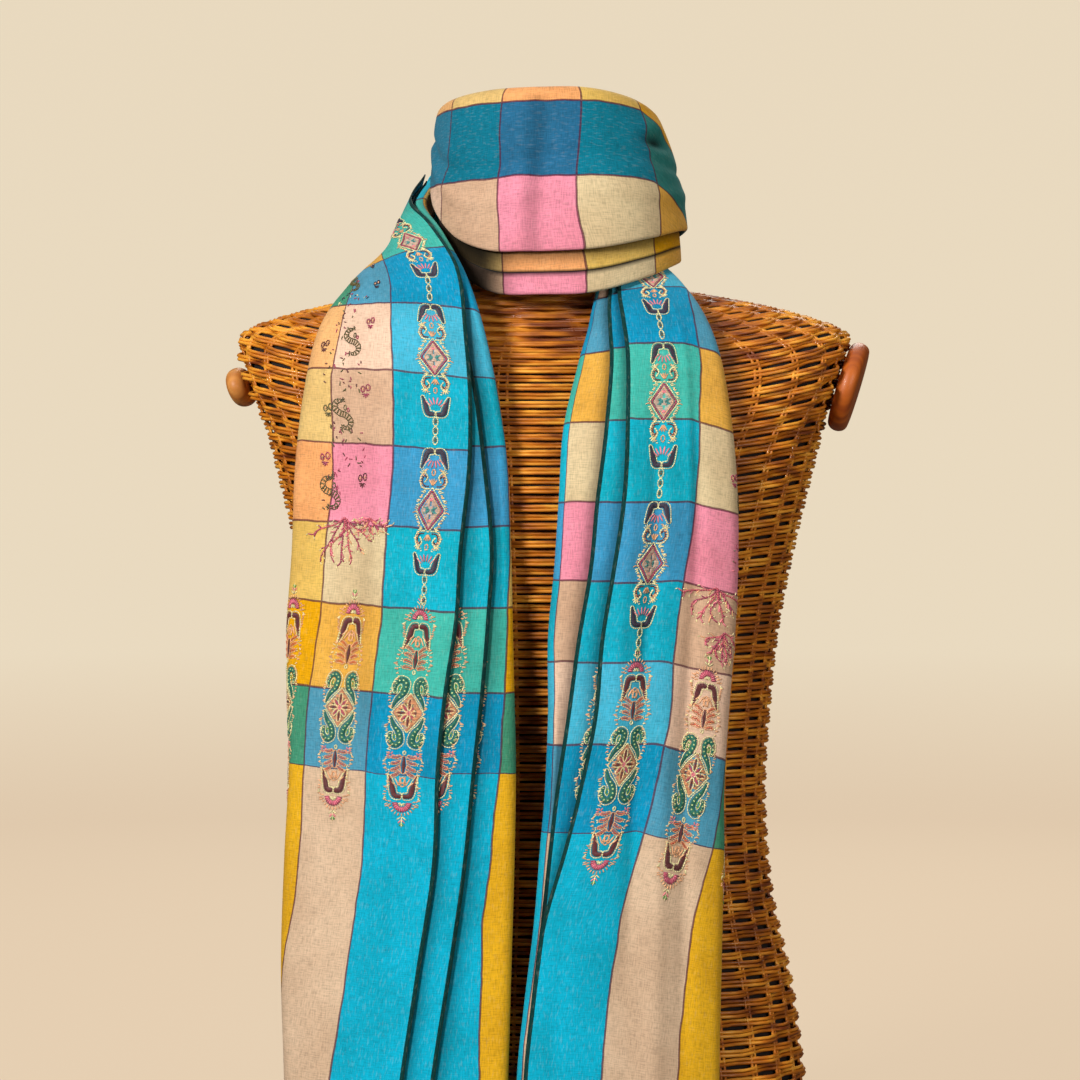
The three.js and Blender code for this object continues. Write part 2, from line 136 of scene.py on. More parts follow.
# Extra cloth taken up by the outer part of the left tail's front, at distances from the hem.
LEFT_GATHER = [
    (60, -2), (165, 8), (280, 7), (360, 11), (441, 13), (500, 10), (540, 28), (595, 46), (640, 28),
    (680, 6),
]
NO_GATHER = [(0, 0)]
# u where the third layer of each tail starts, at distances along the shawl.
LEFT_INNER = [(150, 288), (300, 301), (400, 308), (540, 310), (600, 326)]
RIGHT_INNER = [(0, 355)]
# u at the top edge of the wrap, at two distances along the shawl.
WRAP_TOP = [(680, 20), (968, 147)]
SEAM_TURNS = (115.2, 275.9, 276.1, 462.9, 463.1, 621.9)
# How far along the shawl the wrap is at some turns.
TURN_ALONG = [(115, 680.0), (276, 917.5), (463, 1192.4), (622, 1407.5)]

# Legs of the fold: layer, from, to, and the number of steps along the leg.
TAIL_LEGS = [
    (0, "free0", 0.0, 40),
    (5, 0.0, 1.0, 26),
    (2, 1.0, 0.0, 34),
    (3, 0.0, 0.72, 12),
    (4, 0.72, 0.0, 12),
    (1, 0.0, "free1", 30),
]
# The legs of a tail that show from the front, by their place in the list above.
FRONT_LEG = 0
SECOND_LEG = 5
THIRD_LEG = 2
BAND_LEGS = [
    (5, 0.12, 1.0, 16),
    (0, 1.0, 0.2, 44),
    (1, 0.2, 0.34, 5),
    (2, 0.34, 0.0, 24),
    (3, 0.0, 0.92, 14),
    (4, 0.92, 0.14, 14),
]
# The legs of the wrap that show: its outer face and the roll below it.
FACE_LEG = 1
ROLL_LEG = 3
TUCK_STEP = 17  # on the roll's leg, the step at which one column is tucked out of sight
FOLD_STEPS = 6  # round a fold between neighbouring layers
WIDE_FOLD_STEPS = 10  # round a fold that takes other layers inside it
PINCH = 0.003  # the tuck's mouth, as a share of the width
TUCK_U = (299.2, 350.8)  # u where the cloth goes into the tuck and comes out
FOLD_U = 372.0  # u at the fold behind the roll


# ---- small helpers -----------------------------------------------------------------------


def linear(red, green, blue):
    """A display colour from 0 to 255 as the linear colour that a shader takes."""
    return tuple(
        c / 12.92 if c <= 0.04045 else ((c + 0.055) / 1.055) ** 2.4
        for c in (red / 255, green / 255, blue / 255)
    ) + (1.0,)


def ease(x):
    x = np.clip(x, 0.0, 1.0)
    return x * x * (3 - 2 * x)


def bump(x, centre, half):
    """A soft hill of height 1 and the given half width."""
    return np.exp(-(((x - centre) / half) ** 2) * 1.6)


def between(pairs, x):
    """Straight lines through a table of pairs, level before the first and after the last."""
    table = np.array(pairs, float)
    return np.interp(x, table[:, 0], table[:, 1])


def path_run(points):
    """Length along a path, at each of its points."""
    steps = np.linalg.norm(np.diff(points, axis=0), axis=1)
    return np.concatenate([[0], np.cumsum(steps)])


def column(values, at):
    """Smooth curve through a table's column, at fractional row numbers."""
    rows = len(values)
    i = np.clip(np.floor(at).astype(int), 0, rows - 2)
    t = at - i
    a, b = values[np.maximum(i - 1, 0)], values[i]
    c, d = values[i + 1], values[np.minimum(i + 2, rows - 1)]
    rise0 = np.where(i > 0, (c - a) / 2, c - b)
    rise1 = np.where(i + 2 < rows, (d - b) / 2, c - b)
    t2, t3 = t * t, t * t * t
    return (
        (2 * t3 - 3 * t2 + 1) * b + (t3 - 2 * t2 + t) * rise0
        + (3 * t2 - 2 * t3) * c + (t3 - t2) * rise1
    )


def unit(vectors):
    return vectors / np.linalg.norm(vectors, axis=-1, keepdims=True)


def new_object(name, vertices, faces, edges=()):
    mesh = bpy.data.meshes.new(name)
    mesh.from_pydata([tuple(v) for v in vertices], list(edges), faces)
    mesh.update()
    obj = bpy.data.objects.new(name, mesh)
    bpy.context.scene.collection.objects.link(obj)
    return obj


# ---- the fold ----------------------------------------------------------------------------


def folded_line(legs, section):
    """Shares of width and depth along the folded section, for every section at once.

    Also gives the leg that each point belongs to; a round fold counts as the leg before it."""
    width, depth = section["width"], section["depth"]
    pitch = depth / (LAYERS - 1)

    def edge(value):
        return section[value] if isinstance(value, str) else np.full(len(width), value)

    ends = [(edge(leg[1]), edge(leg[2])) for leg in legs]
    spans = [abs(b[0] - a[0]) for a, b in zip(legs, legs[1:])]
    shares, levels, owners = [], [], []
    start = ends[0][0]
    for i, (layer, _, to, steps) in enumerate(legs):
        level = 1 - layer / (LAYERS - 1)
        last = i + 1 == len(legs)
        stop = ends[i][1]
        if not last:
            way = np.sign(ends[i][1] - ends[i][0])
            widest = max(span for span, leg in zip(spans, legs) if leg[2] == to)
            stop = stop - way * widest * pitch / 2 / width
        for k in range(steps + 1):
            shares.append(start + (stop - start) * k / steps)
            levels.append(np.full(len(width), level))
            owners.append(i)
        if last:
            break
        below = 1 - legs[i + 1][0] / (LAYERS - 1)
        count = WIDE_FOLD_STEPS if spans[i] > 2 else FOLD_STEPS
        for k in range(1, count):
            angle = math.pi * k / count
            out = way * spans[i] * pitch / 2 / width * math.sin(angle)
            shares.append(stop + out)
            height = (level + below) / 2 + (level - below) / 2 * math.cos(angle)
            levels.append(np.full(len(width), height))
            owners.append(i)
        start = stop
    return np.array(shares).T, np.array(levels).T, np.array(owners)


class Cloth:
    """One stretch of the folded shawl as a grid of points with cloth coordinates.

    hand is -1 where the sections run with the shawl's own direction and 1 on the right tail.
    across, relief and shade are functions of the cloth: u, the height of its folds and creases,
    and the painted shade, how much of the colour's brightness is left where folds and creases are
    darkened in place of real shade."""

    def __init__(self, name, legs, section, hand, along, across, relief, shade):
        self.name = name
        self.hand = hand
        self.section = section
        self.share, self.level, self.owner = folded_line(legs, section)
        if legs is BAND_LEGS:
            self.pinch_tuck()
        outer, inner = section["outer"], section["inner"]
        axis = unit(inner - outer)
        middle = (outer + inner) / 2
        path = unit(np.gradient(middle, axis=0))
        normal = unit(np.cross(axis, path) * -hand)
        width = section["width"][:, None]
        crown = section["crown"][:, None]
        lift = self.level * section["depth"][:, None] + 4 * crown * self.share * (1 - self.share)
        self.v = np.repeat(along[:, None], self.share.shape[1], axis=1)
        flat = np.stack([self.share * width, lift], axis=-1)
        run = np.linalg.norm(np.diff(flat, axis=1), axis=-1)
        self.run = np.concatenate([np.zeros((len(run), 1)), np.cumsum(run, axis=1)], axis=1)
        self.u = across(self)
        if legs is BAND_LEGS:
            self.v = self.v + 2.6 * np.sin(7 * self.share + self.v / 21) * np.sin(self.v / 34)
        height = middle[:, 2][:, None] + 0 * self.share
        lift = lift + relief(self, height)
        self.points = (
            outer[:, None, :] + axis[:, None, :] * flat[..., :1] + normal[:, None, :] * lift[..., None]
        )
        # painted shade: darkening of folds and creases that is multiplied into the colour
        self.shade = shade(self)

    def pinch_tuck(self):
        """Brings two neighbouring points of the roll almost together where cloth is tucked in."""
        tuck = self.on_leg(ROLL_LEG)[0] + TUCK_STEP
        self.share[:, tuck + 1] = self.share[:, tuck] - PINCH

    def on_leg(self, leg):
        """Places of a leg's points in every section."""
        return np.nonzero(self.owner == leg)[0]

    def leg_starts(self):
        return [self.on_leg(leg)[0] for leg in range(LAYERS)]

    def build(self, material):
        rows, count = self.share.shape
        faces = []
        for i in range(rows - 1):
            for j in range(count - 1):
                a = i * count + j
                faces.append((a, a + 1, a + 1 + count, a + count))
        obj = new_object(self.name, self.points.reshape(-1, 3) * MM, faces)
        mesh = obj.data
        layer = mesh.uv_layers.new(name="cloth")
        loops = np.zeros(len(mesh.loops), int)
        mesh.loops.foreach_get("vertex_index", loops)
        uv = np.stack([self.u.ravel(), self.v.ravel()], axis=-1) * MM
        layer.data.foreach_set("uv", uv[loops].ravel())
        # the painted shade, stored on the points for the material
        shade = mesh.attributes.new("fold_shade", "FLOAT", "POINT")
        shade.data.foreach_set("value", self.shade.ravel())
        mesh.polygons.foreach_set("use_smooth", [True] * len(mesh.polygons))
        mesh.materials.append(material)
        shell = obj.modifiers.new("shell", "SOLIDIFY")
        shell.thickness = WALL * MM
        shell.offset = 0.0
        return obj

    def surface(self, leg, u, v):
        """Point, direction across, direction along and normal on a leg, for cloth coordinates."""
        js = self.on_leg(leg)
        rising = self.hand < 0
        order = slice(None) if rising else slice(None, None, -1)
        near = js[int(np.argmin(np.abs(self.u[len(self.u) // 2, js] - u)))]
        at = np.interp(v, self.v[order, near], np.arange(len(self.v))[order])
        i = int(min(max(math.floor(at), 0), len(self.v) - 2))
        t = at - i
        found = []
        for row in (i, i + 1):
            spot = np.interp(u, self.u[row, js], js)
            j = int(min(math.floor(spot), js[-1] - 1))
            s = spot - j
            found.append((self.points[row, j] * (1 - s) + self.points[row, j + 1] * s,
                          self.points[row, j + 1] - self.points[row, j]))
        point = found[0][0] * (1 - t) + found[1][0] * t
        across = unit(found[0][1] * (1 - t) + found[1][1] * t)
        along = unit((found[1][0] - found[0][0]) * (1 if rising else -1))
        return point, across, along, unit(np.cross(across, along))


def tail_section(rows, slack, shift):
    """Evenly spaced sections of a tail from its hem, and how far along the cloth each one is."""
    table = np.array(rows, float)
    outer, inner = table[:, 0:3], table[:, 3:6]
    at = np.linspace(0, len(table) - 1, FINE_STEPS)
    middle = np.stack([column((outer + inner)[:, k] / 2, at) for k in range(3)], axis=-1)
    run = path_run(middle)
    even = np.interp(np.linspace(0, run[-1], TAIL_STEPS + 1), run, at)
    cols = [column(table[:, k], even) for k in range(10)]
    section = {
        "outer": np.stack(cols[0:3], axis=-1), "inner": np.stack(cols[3:6], axis=-1),
        "depth": cols[6], "crown": cols[7], "free0": cols[8], "free1": cols[9],
    }
    for name in ("free0", "free1"):
        section[name] = np.minimum(section[name] + shift, 0.99)
    section["width"] = np.linalg.norm(section["inner"] - section["outer"], axis=1)
    along = np.linspace(0, run[-1], TAIL_STEPS + 1)
    return section, along + between(slack, along)


def spiral_section(first, last):
    """Sections of the wrap between two turns, and how far along the cloth each one is."""
    table = np.array(SPIRAL, float)
    turns = np.linspace(first, last, int((last - first) / SPIRAL_DEGREES) + 1)
    at = np.interp(turns, table[:, 0], np.arange(len(table)))
    low, high, low_r, high_r, depth, crown = (column(table[:, k], at) for k in range(1, 7))
    angle = np.radians(turns)

    def ring(radius, z):
        return np.stack([-radius * np.sin(angle), -radius * np.cos(angle), z], axis=-1)

    section = {"outer": ring(low_r, low), "inner": ring(high_r, high), "depth": depth, "crown": crown}
    section["width"] = np.linalg.norm(section["inner"] - section["outer"], axis=1)
    return section, between(TURN_ALONG, turns)


# ---- cloth coordinates across the fold ---------------------------------------------------


def tail_across(inner, gather):
    """u along a tail's folded line: true on the three legs that show from the front.

    gather is how much more cloth the outer part of the front leg takes up, in tiny pleats."""

    def across(cloth):
        first = cloth.leg_starts()
        u = np.zeros_like(cloth.run)
        for i, run in enumerate(cloth.run):
            v = cloth.v[i, 0]
            flat = min(COLUMN, 0.8 * run[first[1]])
            front = run[first[1]] + between(gather, v)
            second = between(inner, v)
            third = second + run[first[3]] - run[first[2]]
            last = CLOTH_WIDTH - (run[-1] - run[first[5]])
            known_run = [0, flat, run[first[1]], run[first[2]], run[first[3]], run[first[5]], run[-1]]
            known_u = [0, flat, front, second, third, last, CLOTH_WIDTH]
            u[i] = np.interp(run, known_run, known_u)
        return u
    return across


def band_across(cloth):
    """u on the wrap: true on the outer face, with one column tucked away in the lower roll."""
    first = cloth.leg_starts()
    u = np.zeros_like(cloth.run)
    for i, run in enumerate(cloth.run):
        top = between(WRAP_TOP, cloth.v[i, 0])
        upper, lower, roll, fold = (run[first[leg]] for leg in (1, 2, 3, 4))
        tuck = run[first[3] + TUCK_STEP]
        face = top + lower - upper
        known_run = [0, upper, lower, roll, tuck, tuck + 0.01, fold, run[-1]]
        known_u = [top - min(top, upper), top, face, face + 12, *TUCK_U, FOLD_U, CLOTH_WIDTH - 40]
        u[i] = np.interp(run, known_run, known_u)
    return u


def slanted(cloth, slant):
    """Shifts the rows of the weft along the cloth, by how far across it they are."""
    cloth.v = cloth.v + between(slant, cloth.u)
    return cloth


# ---- folds and creases -------------------------------------------------------------------

# Lengthwise troughs (negative) and ridges of the tails: share of the width at the hem and at the
# shoulder, half width as a share, height in mm, and the heights z between which they live.
LEFT_FOLDS = [
    (0.29, 0.34, 0.07, -4.4, 60, 560),
    (0.43, 0.49, 0.07, 3.4, 130, 610),
    (0.60, 0.62, 0.06, -4.0, 240, 640),
    (0.75, 0.72, 0.07, 3.0, 80, 420),
    (0.13, 0.18, 0.07, 2.6, 200, 620),
    (0.90, 0.90, 0.05, -2.6, 300, 600),
    (0.20, 0.24, 0.04, -2.4, 420, 650),
]
RIGHT_FOLDS = [
    (0.22, 0.27, 0.06, -4.2, 90, 590),
    (0.37, 0.40, 0.07, 3.4, 40, 430),
    (0.54, 0.50, 0.06, -3.4, 160, 610),
    (0.70, 0.66, 0.07, 2.8, 250, 620),
    (0.86, 0.88, 0.05, -2.6, 60, 380),
    (0.33, 0.30, 0.04, 2.0, 430, 650),
]
EDGE_REACH = 0.045  # how far the painted shade beside a selvedge reaches, as a share of the width
# Turns, in degrees, of the band's upright crease and of its pocket, and the pocket's share.
# CREASE_TURN, POCKET_TURN and POCKET_SHARE also place painted shade on the wrap's face
CREASE_TURN = 363
CREASE_RIDGE = 370.0
CREASE_TROUGH = 361.0
POCKET_TURN = 301
POCKET_SHARE = 0.74


def folds_relief(cloth, height, folds):
    total = np.zeros_like(cloth.share)
    for at_hem, at_top, half, size, low, high in folds:
        t = np.clip((height - 60) / 560, 0, 1)
        centre = at_hem + (at_top - at_hem) * t + 0.012 * np.sin(height / 61 + size)
        live = ease((height - low) / 90) * ease((high - height) / 110)
        total += size * live * bump(cloth.share, centre, half)
    return total


def tail_relief(folds, drift):
    """The tail's own folds, a broad wave that dies out at the shoulder, and fine ripples."""

    def relief(cloth, height):
        body = np.sin(math.pi * np.clip(cloth.share, 0, 1))
        fade = np.clip((620 - height) / 100, 0, 1)
        wave = 2.4 * fade * body * np.sin(2 * math.pi * (cloth.share + height / 900))
        fine = 0.5 * np.sin(height / 23 + 6 * cloth.share + drift) * np.sin(height / 87 + drift)
        return wave + (folds_relief(cloth, height, folds) + fine) * body
    return relief


def tail_painted_shade(cloth):
    """Painted shadow on the layers beneath, beside the selvedges that lie on them."""
    shade = np.ones_like(cloth.share)
    for leg, edges in ((SECOND_LEG, ("free0",)), (THIRD_LEG, ("free0", "free1"))):
        js = cloth.on_leg(leg)
        for edge in edges:
            beyond = (cloth.share[:, js] - cloth.section[edge][:, None]) / EDGE_REACH
            # painted shadow of the upper layer's edge
            shade[:, js] *= 1 - 0.5 * np.exp(-beyond ** 2)
    return shade


def turn_of(cloth):
    """Degrees of turn round the neck of every point of the wrap."""
    return between([(along, turn) for turn, along in TURN_ALONG], cloth.v)


def band_painted_shade(cloth):
    """Painted shade under the overhanging edge, in the tuck, at the hidden end of the roll, along the
    upright crease and in the pocket.
    """
    shade = np.ones_like(cloth.share)
    turn = turn_of(cloth)
    roll = np.nonzero(cloth.owner >= ROLL_LEG)[0]
    # painted shadow on the roll under the overhanging edge, and painted shade at its hidden end
    under = (cloth.share[:, roll] - 0.2) / 0.05
    shade[:, roll] *= 1 - 0.72 * np.exp(-np.minimum(under, 0) ** 2)
    shade[:, roll] *= 0.04 + 0.96 * ease((392 - turn[:, roll]) / 24)
    tuck = roll[0] + TUCK_STEP
    # painted shade: the tuck drawn as a near-black line
    shade[:, tuck:tuck + 2] = 0.06
    face = cloth.on_leg(FACE_LEG)
    # painted shade down the upright crease and in the pocket
    shade[:, face] *= 1 - 0.28 * bump(turn[:, face], CREASE_TURN, 5)
    pocket = bump(turn[:, face], POCKET_TURN, 11) * bump(cloth.share[:, face], POCKET_SHARE, 0.04)
    shade[:, face] *= 1 - 0.92 * pocket
    return shade


def band_relief(cloth, height):
    """Creases that run round the neck, an upright crease at the throat and the pocket's dip."""
    turn = turn_of(cloth)
    drape = 1.4 * np.sin(turn / 9.5 + 5 * cloth.share) * np.sin(turn / 31.0)
    drape += 3.4 * bump(turn, CREASE_RIDGE, 7.0) - 3.0 * bump(turn, CREASE_TROUGH, 6.0)
    pocket = 5.5 * bump(cloth.share, 0.85, 0.08) - 6.0 * bump(cloth.share, POCKET_SHARE, 0.06)
    drape += pocket * bump(turn, POCKET_TURN, 14)
    crease = -2.0 * bump(cloth.share, 0.62 + 0.05 * np.sin(turn / 24), 0.05)
    crease += 1.6 * bump(cloth.share, 0.45 + 0.04 * np.sin(turn / 17), 0.06)
    inside = np.sin(math.pi * np.clip(cloth.share, 0, 1))
    return (drape + crease) * inside * 0.9


# ---- materials ---------------------------------------------------------------------------

# Weft rows in their order from an end panel, as seen in each warp column.
BLUE_COLUMN = [
    (0, 148, 192), (66, 186, 172), (8, 178, 204), (60, 156, 204), (10, 172, 200), (66, 178, 210),
]
BEIGE_COLUMN = [
    (78, 154, 184), (232, 176, 74), (220, 198, 156), (238, 146, 168), (212, 174, 144), (234, 198, 172),
]
YELLOW_COLUMN = [
    (66, 148, 116), (232, 168, 0), (230, 190, 98), (242, 170, 108), (226, 190, 120), (236, 180, 118),
]
PANEL_COLOURS = [(2, 176, 210), (216, 186, 156), (228, 174, 30)]
WHITE = (255, 255, 255)
LINE_COLOUR = (84, 16, 50)
LINE_HALF = 0.0135  # half width of a line of the check, as a share of a cell
# the selvedge's own dark green, made darker and wider to carry painted shadow at the edges
SELVEDGE_AND_SHADOW_COLOUR = (4, 58, 56)
SELVEDGE_AND_SHADOW_WIDTH = 2.6  # width of the dark selvedge, widened to carry painted shadow along the cloth's edge
STRAY = 0.035  # how far a line strays from straight, as a share of a cell
# painted shade: the blue column is multiplied darker round the neck
NECK_PAINTED_SHADE = (170, 176, 184)
NECK_ALONG = 1055.0  # middle of the stretch near the neck where the blue is darkened with painted shade
NECK_REACH = 320.0  # from that middle to where the painted shade ends
HEATHER = (236, 226, 200)  # pale slubs in the yarn
REED_TONES = [(0.36, (116, 50, 4)), (0.5, (196, 112, 10)), (0.61, (240, 166, 50))]


class Tree:
    """Short calls to build a node tree."""

    def __init__(self, tree):
        self.tree = tree

    def node(self, kind, **settings):
        made = self.tree.nodes.new(kind)
        for key, value in settings.items():
            setattr(made, key, value)
        return made

    def link(self, a, b):
        self.tree.links.new(a, b)

    def math(self, operation, a, b=None, c=None):
        made = self.node("ShaderNodeMath", operation=operation)
        for socket, value in zip(made.inputs, (a, b, c)):
            if value is None:
                continue
            if isinstance(value, (int, float)):
                socket.default_value = value
            else:
                self.link(value, socket)
        return made.outputs[0]

    def mix(self, factor, a, b, blend="MIX"):
        made = self.node("ShaderNodeMix", data_type="RGBA", blend_type=blend)
        for socket, value in ((made.inputs[0], factor), (made.inputs[6], a), (made.inputs[7], b)):
            if isinstance(value, (int, float, tuple)):
                socket.default_value = value
            else:
                self.link(value, socket)
        return made.outputs[2]

    def ramp(self, factor, stops, steps="CONSTANT"):
        made = self.node("ShaderNodeValToRGB")
        ramp = made.color_ramp
        ramp.interpolation = steps
        while len(ramp.elements) < len(stops):
            ramp.elements.new(0.5)
        for element, (position, colour) in zip(ramp.elements, stops):
            element.position = position
            element.color = colour
        self.link(factor, made.inputs[0])
        return made.outputs[0]

    def noise(self, vector, scale, detail=2.0):
        made = self.node("ShaderNodeTexNoise")
        made.inputs["Scale"].default_value = scale
        made.inputs["Detail"].default_value = detail
        self.link(vector, made.inputs["Vector"])
        return made.outputs["Fac"]

    def stretch(self, vector, scale):
        made = self.node("ShaderNodeMapping")
        made.inputs["Scale"].default_value = scale
        self.link(vector, made.inputs["Vector"])
        return made.outputs["Vector"]


def shader_group(name, inputs, outputs):
    group = bpy.data.node_groups.new(name, "ShaderNodeTree")
    for label, kind in inputs:
        group.interface.new_socket(label, in_out="INPUT", socket_type=kind)
    for label, kind in outputs:
        group.interface.new_socket(label, in_out="OUTPUT", socket_type=kind)
    tree = Tree(group)
    return group, tree, tree.node("NodeGroupInput"), tree.node("NodeGroupOutput")


def check_group():
    """Colour of the check from cloth coordinates in metres."""
    group, t, source, sink = shader_group(
        "pashmina_check", [("Cloth", "NodeSocketVector")], [("Color", "NodeSocketColor")]
    )
    split = t.node("ShaderNodeSeparateXYZ")
    t.link(source.outputs["Cloth"], split.inputs[0])
    u, v = split.outputs[0], split.outputs[1]
    stray_u = t.math("MULTIPLY_ADD", t.noise(source.outputs["Cloth"], 30.0), 2 * STRAY, -STRAY)
    stray_v = t.math("MULTIPLY_ADD", t.noise(source.outputs["Cloth"], 37.0), 2 * STRAY, -STRAY)
    column_at = t.math("ADD", t.math("DIVIDE", u, COLUMN * MM), stray_u)
    row_at = t.math("DIVIDE", t.math("SUBTRACT", v, PANEL * MM), ROW * MM)
    row_at = t.math("ADD", row_at, stray_v)
    kind = t.math("FLOORED_MODULO", t.math("FLOOR", column_at), 3.0)
    row_kind = t.math("FLOORED_MODULO", t.math("FLOOR", row_at), 6.0)
    weft = t.math("DIVIDE", t.math("ADD", row_kind, 0.5), 6.0)
    before = t.math("LESS_THAN", row_at, 0.0)
    in_panel = t.math("MAXIMUM", before, t.math("GREATER_THAN", row_at, float(ROWS)))
    colours = []
    for cells, panel in zip((BLUE_COLUMN, BEIGE_COLUMN, YELLOW_COLUMN), PANEL_COLOURS):
        cell = t.ramp(weft, [(k / 6, linear(*c)) for k, c in enumerate(cells)])
        colours.append(t.mix(in_panel, cell, linear(*panel)))
    # painted shade on the blue column along the wrap round the neck
    from_neck = t.math("ABSOLUTE", t.math("SUBTRACT", v, NECK_ALONG * MM))
    neck_painted_shade_amount = t.math("MULTIPLY", t.math("SUBTRACT", NECK_REACH * MM, from_neck), 12.0)
    neck_painted_shade_amount = t.math("MINIMUM", t.math("MAXIMUM", neck_painted_shade_amount, 0.0), 1.0)
    colours[0] = t.mix(neck_painted_shade_amount, colours[0], linear(*NECK_PAINTED_SHADE), "MULTIPLY")
    colour = t.mix(t.math("GREATER_THAN", kind, 0.5), colours[0], colours[1])
    colour = t.mix(t.math("GREATER_THAN", kind, 1.5), colour, colours[2])
    line_u = t.math("LESS_THAN", t.math("PINGPONG", column_at, 0.5), LINE_HALF)
    line_v = t.math("LESS_THAN", t.math("PINGPONG", row_at, 0.5), LINE_HALF)
    line_v = t.math("MULTIPLY", line_v, t.math("SUBTRACT", 1.0, in_panel))
    lines = t.math("MULTIPLY", t.math("MAXIMUM", line_u, line_v), 0.8)
    colour = t.mix(lines, colour, linear(*LINE_COLOUR))
    # dark selvedge stripe: real selvedge colour and painted shadow along the edge
    edge = t.math("MINIMUM", u, t.math("SUBTRACT", CLOTH_WIDTH * MM, u))
    colour = t.mix(t.math("LESS_THAN", edge, SELVEDGE_AND_SHADOW_WIDTH * MM), colour, linear(*SELVEDGE_AND_SHADOW_COLOUR))
    t.link(colour, sink.inputs["Color"])
    return group


def weave_group():
    """Heathered yarns, pale slubs and broad changes of the dye, from cloth coordinates in metres."""
    group, t, source, sink = shader_group(
        "pashmina_weave", [("Cloth", "NodeSocketVector"), ("Base", "NodeSocketColor")],
        [("Color", "NodeSocketColor"), ("Height", "NodeSocketFloat")],
    )
    cloth = source.outputs["Cloth"]
    warp = t.noise(t.stretch(cloth, (1.0, 0.09, 1.0)), 1700.0)
    weft = t.noise(t.stretch(cloth, (0.09, 1.0, 1.0)), 1700.0)
    slub = t.noise(t.stretch(cloth, (1.0, 0.25, 1.0)), 760.0)
    yarns = t.math("ADD", t.math("MULTIPLY", warp, 0.5), t.math("MULTIPLY", weft, 0.5))
    dark = t.ramp(yarns, [(0.36, linear(196, 196, 196)), (0.56, linear(*WHITE))], "LINEAR")
    colour = t.mix(0.75, source.outputs["Base"], dark, "MULTIPLY")
    light = t.ramp(slub, [(0.54, linear(0, 0, 0)), (0.8, linear(84, 84, 84))], "LINEAR")
    colour = t.mix(light, colour, linear(*HEATHER))
    dye = t.noise(cloth, 22.0, 3.0)
    shade = t.ramp(dye, [(0.34, linear(236, 230, 226)), (0.6, linear(*WHITE))], "LINEAR")
    colour = t.mix(0.8, colour, shade, "MULTIPLY")
    t.link(colour, sink.inputs["Color"])
    t.link(yarns, sink.inputs["Height"])
    return group


def group_node(tree, group):
    made = tree.node("ShaderNodeGroup")
    made.node_tree = group
    return made


def new_material(name):
    material = bpy.data.materials.new(name)
    material.use_nodes = True
    tree = Tree(material.node_tree)
    shader = material.node_tree.nodes["Principled BSDF"]
    return material, tree, shader


def pashmina_material(check, weave):
    material, t, shader = new_material("pashmina")
    cloth = t.node("ShaderNodeUVMap", uv_map="cloth").outputs["UV"]
    base = group_node(t, check)
    yarn = group_node(t, weave)
    t.link(cloth, base.inputs["Cloth"])
    t.link(cloth, yarn.inputs["Cloth"])
    t.link(base.outputs["Color"], yarn.inputs["Base"])
    # multiplies the painted shade of folds, creases and the tuck into the colour
    shade = t.node("ShaderNodeAttribute", attribute_name="fold_shade").outputs["Fac"]
    t.link(t.mix(1.0, yarn.outputs["Color"], shade, "MULTIPLY"), shader.inputs["Base Color"])
    bump_node = t.node("ShaderNodeBump")
    bump_node.inputs["Strength"].default_value = 0.5
    bump_node.inputs["Distance"].default_value = 0.0005
    t.link(yarn.outputs["Height"], bump_node.inputs["Height"])
    t.link(bump_node.outputs["Normal"], shader.inputs["Normal"])
    shader.inputs["Roughness"].default_value = 0.82
    shader.inputs["Specular IOR Level"].default_value = 0.12
    shader.inputs["Sheen Weight"].default_value = 0.08
    shader.inputs["Sheen Roughness"].default_value = 0.4
    return material


def painted_shade_hollow_material():
    """The dark inside of the wicker, seen between the reeds: painted shade, near-black in place of the
    shadowed hollow.
    """
    material, _, shader = new_material("form_hollow")
    # painted shade: near-black for the shadowed inside of the wicker
    shader.inputs["Base Color"].default_value = linear(20, 9, 5)
    shader.inputs["Roughness"].default_value = 0.9
    return material


def reed_material():
    material, t, shader = new_material("reed")
    place = t.node("ShaderNodeTexCoord").outputs["Object"]
    streak = t.noise(t.stretch(place, (1.0, 1.0, 6.0)), 38.0, 4.0)
    spots = t.noise(place, 14.0, 2.0)
    mixed = t.math("ADD", t.math("MULTIPLY", streak, 0.65), t.math("MULTIPLY", spots, 0.35))
    stops = [(place_at, linear(*tone)) for place_at, tone in REED_TONES]
    t.link(t.ramp(mixed, stops, "LINEAR"), shader.inputs["Base Color"])
    shader.inputs["Roughness"].default_value = 0.5
    shader.inputs["Coat Weight"].default_value = 0.12
    return material


def wood_material(name, dark, light):
    material, t, shader = new_material(name)
    place = t.node("ShaderNodeTexCoord").outputs["Object"]
    grain = t.noise(t.stretch(place, (2.0, 30.0, 2.0)), 9.0, 5.0)
    colour = t.ramp(grain, [(0.3, linear(*dark)), (0.7, linear(*light))], "LINEAR")
    t.link(colour, shader.inputs["Base Color"])
    shader.inputs["Roughness"].default_value = 0.5
    shader.inputs["Coat Weight"].default_value = 0.1
    return material


# ---- embroidery --------------------------------------------------------------------------

# Thread colours.
CREAM = (240, 230, 172)
PEACH = (236, 176, 128)
PINK = (232, 128, 140)
ROSE = (170, 62, 92)
MAROON = (96, 34, 38)
NAVY = (46, 36, 58)
GREEN = (14, 104, 84)
LEAF = (92, 158, 60)
OLIVE = (92, 88, 44)
TEAL = (52, 140, 136)
MOSS = (104, 92, 40)
DARK_MOSS = (88, 78, 34)
PALE_LEAF = (206, 222, 150)
TAN = (206, 140, 96)
FAWN = (196, 168, 150)
RUST = (206, 96, 58)
CORAL = (204, 92, 104)

